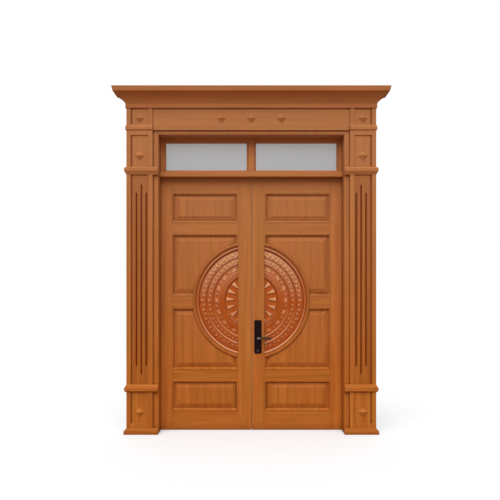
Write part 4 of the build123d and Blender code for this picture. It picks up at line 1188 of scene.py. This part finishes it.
    def _row(self, build: BMesh, row: MotifRow) -> None:
        """Carve one row of figures around the drum.

        Args:
            build: Mesh to add it to.
            row: Row to carve.
        """
        corners, twist = row.motif.value
        made = bmesh.ops.create_circle(build, cap_ends=True, radius=1.0, segments=corners)
        foot = made["verts"]
        spacing = math.tau / row.count
        reach = row.ring.value * self.radius + row.offset
        stand = (
            Matrix.Translation((0.0, 0.0, self.middle_z))
            @ Matrix.Rotation(spacing * row.phase, 4, "Y")
            @ Matrix.Translation((reach, self.floor_y + self.foot_sink, 0.0))
            @ Matrix.Rotation(math.radians(90), 4, "X")
            @ Matrix.Rotation(math.radians(row.turn), 4, "Z")
            @ Matrix.Diagonal((row.length, row.width, 1.0, 1.0))
            @ Matrix.Rotation(math.radians(twist), 4, "Z")
        )
        bmesh.ops.transform(build, matrix=stand, verts=foot)
        raised = bmesh.ops.extrude_face_region(build, geom=[foot[0].link_faces[0]])["geom"]
        top = only(BMVert, raised)
        middle = sum((vert.co for vert in top), Vector()) / len(top)
        figure = build.verts.layers.float["figure"]
        for vert in top:
            vert.co = middle + (vert.co - middle) * row.top
            vert[figure] = row.mark
        bmesh.ops.translate(build, verts=top, vec=(0.0, -row.rise - self.foot_sink, 0.0))
        verts = foot + top
        faces = unique(face for vert in verts for face in vert.link_faces)
        edges = unique(edge for face in faces for edge in face.edges)
        turn = math.tau - spacing
        self._spin(build, verts + edges + faces, turn, row.count - 1, use_duplicate=True)


@dataclass(frozen=True)
class ScrewGroup:
    """Screws of one plate or set of plates.

    Attributes:
        name: Name of the piece.
        body: Body that the plates ride on.
        slot: Material slot of the screws.
        facing: Direction that the heads look in.
        places: Middle of each head, on the face of its plate.
    """

    name: str
    body: str
    slot: str
    facing: Point
    places: tuple[Point, ...]


@dataclass
class Screws(BuiltPiece):
    """Countersunk screws with a cross recess, on the plates of hinges, lock and bolts."""

    head_radius: float = 0.0042
    rim_share: float = 0.84
    rim_segments: int = 12
    rim_turn: float = math.radians(15)
    proud: float = 0.0005
    sink: float = 0.0002
    recess_half: float = 0.0021
    recess_depth: float = 0.0004
    hinge_lows: tuple[float, ...] = (0.1526, 1.0575, 1.9624)
    hinge_steps: tuple[float, ...] = (0.016, 0.05, 0.084)
    hinge_face_y: float = 0.14
    frame_x: float = 0.8245
    leaf_x: float = 0.7745
    handle_x: float = 0.058
    handle_face_y: float = 0.143
    handle_heights: tuple[float, ...] = (0.75, 0.94)
    edge_x: float = 0.002
    edge_y: float = 0.105
    lock_heights: tuple[float, ...] = (0.629, 0.854)
    left_edge_heights: tuple[float, ...] = (0.034, 0.204, 0.713, 0.787, 2.011, 2.181)

    def build(self) -> None:
        """Drive all screws."""
        for group in self._groups():
            self._drive(group)

    def _groups(self) -> list[ScrewGroup]:
        """Give the screws of every plate.

        Returns:
            The groups.
        """
        inward, to_left, to_right = (0.0, 1.0, 0.0), (-1.0, 0.0, 0.0), (1.0, 0.0, 0.0)
        hinge_heights = [low + step for low in self.hinge_lows for step in self.hinge_steps]

        def column(x: float, y: float, heights: Iterable[float]) -> tuple[Point, ...]:
            """Give places above each other."""
            return tuple((x, y, z) for z in heights)

        def hinges(x: float) -> tuple[Point, ...]:
            """Give the places on all hinges along one line."""
            return column(x, self.hinge_face_y, hinge_heights)

        return [
            ScrewGroup(
                "frame_hinge_screws", "frame", "hinge_metal", inward,
                hinges(-self.frame_x) + hinges(self.frame_x),
            ),
            ScrewGroup(
                "handle_plate_screws", "right_leaf", "bare_steel", inward,
                column(self.handle_x, self.handle_face_y, self.handle_heights),
            ),
            ScrewGroup(
                "lock_face_screws", "right_leaf", "bare_steel", to_left,
                column(self.edge_x, self.edge_y, self.lock_heights),
            ),
            ScrewGroup(
                "left_edge_screws", "left_leaf", "bare_steel", to_right,
                column(-self.edge_x, self.edge_y, self.left_edge_heights),
            ),
            *(
                ScrewGroup(
                    f"{side}_hinge_screws", f"{side}_leaf", "hinge_metal", inward,
                    hinges(sign * self.leaf_x),
                )
                for side, sign in SIDES
            ),
        ]

    def _drive(self, group: ScrewGroup) -> None:
        """Build the screws of one group as one piece.

        Args:
            group: Group to build.
        """
        build = bmesh.new()
        turn = Vector((0.0, 0.0, 1.0)).rotation_difference(Vector(group.facing)).to_matrix()
        for place in group.places:
            stand = Matrix.Translation(place) @ turn.to_4x4()
            bmesh.ops.transform(build, matrix=stand, verts=self._head(build))
        finish = BRONZE_COAT if group.slot == "hinge_metal" else ZINC_STEEL
        self.add_piece(build, group.name, finish, group.body, group.slot)

    def _head(self, build: BMesh) -> list[BMVert]:
        """Build one head around the origin, looking up.

        Args:
            build: Mesh to add it to.

        Returns:
            The vertices of the head.
        """
        grid = bmesh.ops.create_grid(build, x_segments=3, y_segments=3, size=self.recess_half)
        plate = grid["verts"]
        cells = unique(face for vert in plate for face in vert.link_faces)
        border = unique(edge for face in cells for edge in face.edges if edge.is_boundary)
        rim_radius = self.head_radius * self.rim_share
        circle = bmesh.ops.create_circle(build, segments=self.rim_segments, radius=rim_radius)
        ring = circle["verts"]
        turn = Matrix.Rotation(self.rim_turn, 3, "Z")
        bmesh.ops.rotate(build, verts=ring, cent=(0.0, 0.0, 0.0), matrix=turn)
        bmesh.ops.translate(build, verts=plate + ring, vec=(0.0, 0.0, self.proud))
        rim = unique(edge for vert in ring for edge in vert.link_edges)
        bmesh.ops.bridge_loops(build, edges=border + rim)
        skirt = bmesh.ops.extrude_edge_only(build, edges=rim)["geom"]
        low = only(BMVert, skirt)
        foot = [edge for edge in only(BMEdge, skirt) if edge.is_boundary]
        bmesh.ops.edgeloop_fill(build, edges=foot)
        spread = 1.0 / self.rim_share
        bmesh.ops.scale(build, verts=low, vec=(spread, spread, 1.0))
        bmesh.ops.translate(build, verts=low, vec=(0.0, 0.0, -self.proud - self.sink))
        # the middle row and column of the cells make the cross
        near = self.recess_half / 4
        cross = [face for face in cells if min(map(abs, face.calc_center_median().xy)) < near]
        sunk = bmesh.ops.extrude_face_region(build, geom=cross)["geom"]
        floor = only(BMVert, sunk)
        bmesh.ops.delete(build, geom=cross, context="FACES")
        bmesh.ops.translate(build, verts=floor, vec=(0.0, 0.0, -self.recess_depth))
        return unique([*plate, *ring, *low, *floor])


@dataclass
class Studio:
    """Camera, light, floor and white background.

    Attributes:
        lit_floor: Colour of the floor as it throws light back on the object.
        seen_floor: Colour of the floor as it is seen.
        floor_run: Distances between which the floor runs out into the background.
        floor_shares: Share of the background at these distances.
    """

    camera_place: Point = (-0.011, -5.08, 1.18)
    lens: float = 42.48
    sensor: float = 36.0
    shift_up: float = 0.09
    lamp_power: float = 2.4
    lamp_angle: float = math.radians(60)
    lamp_turn: Point = (math.radians(44), 0.0, math.radians(-10))
    floor_half: float = 40.0
    floor_clear: float = 0.001
    floor_roughness: float = 0.9
    lit_floor: tuple[float, ...] = (0.36, 0.24, 0.16, 1.0)
    seen_floor: tuple[float, ...] = (0.93, 0.95, 0.97, 1.0)
    floor_run: Span = (1.0, 2.6)
    floor_shares: Span = (0.3, 1.0)
    ambient: float = 0.58

    def build(self) -> None:
        """Set up the whole studio."""
        self._camera()
        self._lamp()
        self._floor()
        self._world()
        bpy.context.scene.view_settings.view_transform = "Standard"
        LOG.info("set up the studio")

    @staticmethod
    def _put(name: str, data: bpy.types.ID) -> bpy.types.Object:
        """Put a camera, a light or a mesh into the scene and give its object."""
        thing = bpy.data.objects.new(name, data)
        bpy.context.scene.collection.objects.link(thing)
        return thing

    def _camera(self) -> None:
        """Place the camera level in front of the doorway."""
        data = bpy.data.cameras.new("camera")
        data.lens = self.lens
        data.sensor_width = self.sensor
        data.shift_y = self.shift_up
        camera = self._put("camera", data)
        camera.location = self.camera_place
        camera.rotation_euler = (math.radians(90), 0.0, 0.0)
        bpy.context.scene.camera = camera

    def _lamp(self) -> None:
        """Light the door softly from above the camera, evenly over its whole height."""
        data = bpy.data.lights.new("high_lamp", "SUN")
        data.energy = self.lamp_power
        data.angle = self.lamp_angle
        self._put("high_lamp", data).rotation_euler = self.lamp_turn

    def _floor(self) -> None:
        """Lay a pale floor that runs out into the white background."""
        mesh = bpy.data.meshes.new("floor")
        build = bmesh.new()
        bmesh.ops.create_grid(build, x_segments=1, y_segments=1, size=self.floor_half)
        bmesh.ops.translate(build, verts=build.verts, vec=(0.0, 0.0, -self.floor_clear))
        build.to_mesh(mesh)
        build.free()
        floor = self._put("floor", mesh)
        material = bpy.data.materials.new("pale_floor")
        material.use_nodes = True
        mesh.materials.append(material)
        sheet = NodeSheet(material.node_tree)
        seen = self._seen(sheet)
        pale = sheet.mix(seen, self.lit_floor, self.seen_floor)
        ground = {"Base Color": pale, "Roughness": self.floor_roughness}
        shader = sheet.add("BsdfPrincipled", ground).outputs["BSDF"]
        glow = sheet.add("Emission").outputs["Emission"]
        reach = sheet.add("VectorMath", {0: sheet.place()}, operation="LENGTH").outputs["Value"]
        share = sheet.span(reach, self.floor_run, self.floor_shares)
        self._blend(sheet, sheet.math("MULTIPLY", share, seen), shader, glow, "OutputMaterial")

    def _world(self) -> None:
        """Make the background white, with a softer light on the object."""
        world = bpy.data.worlds.new("studio")
        bpy.context.scene.world = world
        world.use_nodes = True
        sheet = NodeSheet(world.node_tree)
        soft, backdrop = (
            sheet.add("Background", {"Color": WHITE, "Strength": strength}).outputs["Background"]
            for strength in (self.ambient, 1.0)
        )
        self._blend(sheet, self._seen(sheet), soft, backdrop, "OutputWorld")

    @staticmethod
    def _seen(sheet: NodeSheet) -> Socket:
        """Tell rays that show the background from rays that light the object.

        Args:
            sheet: Sheet of the floor or the world.

        Returns:
            1 for a ray from the camera, a reflection or a pane.
        """
        rays = sheet.add("LightPath").outputs
        seen = sheet.math("MAXIMUM", rays["Is Camera Ray"], rays["Is Glossy Ray"])
        return sheet.math("MAXIMUM", seen, rays["Is Transmission Ray"])

    @staticmethod
    def _blend(sheet: NodeSheet, share: Socket, first: Socket, second: Socket, end: str) -> None:
        """Put two shaders out through an end node, blended by the share of the second one."""
        blend = sheet.add("MixShader", {"Fac": share, 1: first, 2: second})
        sheet.add(end, {"Surface": blend.outputs["Shader"]})


def main() -> None:
    """Build and dress the door, piece by piece."""
    logging.basicConfig(level=logging.INFO, format="%(name)s: %(message)s")
    effects = SharedEffects()
    Surround(effects).dress()
    FluteStops(effects).build()
    DoorFrame(effects).dress()
    for side, sign in SIDES:
        Leaf(effects, f"{side}_").dress()
        DrumMedallion(effects, side, sign).build()
    LockSet(effects).dress()
    Screws(effects).build()
    Studio().build()


if __name__ == "__main__":
    main()
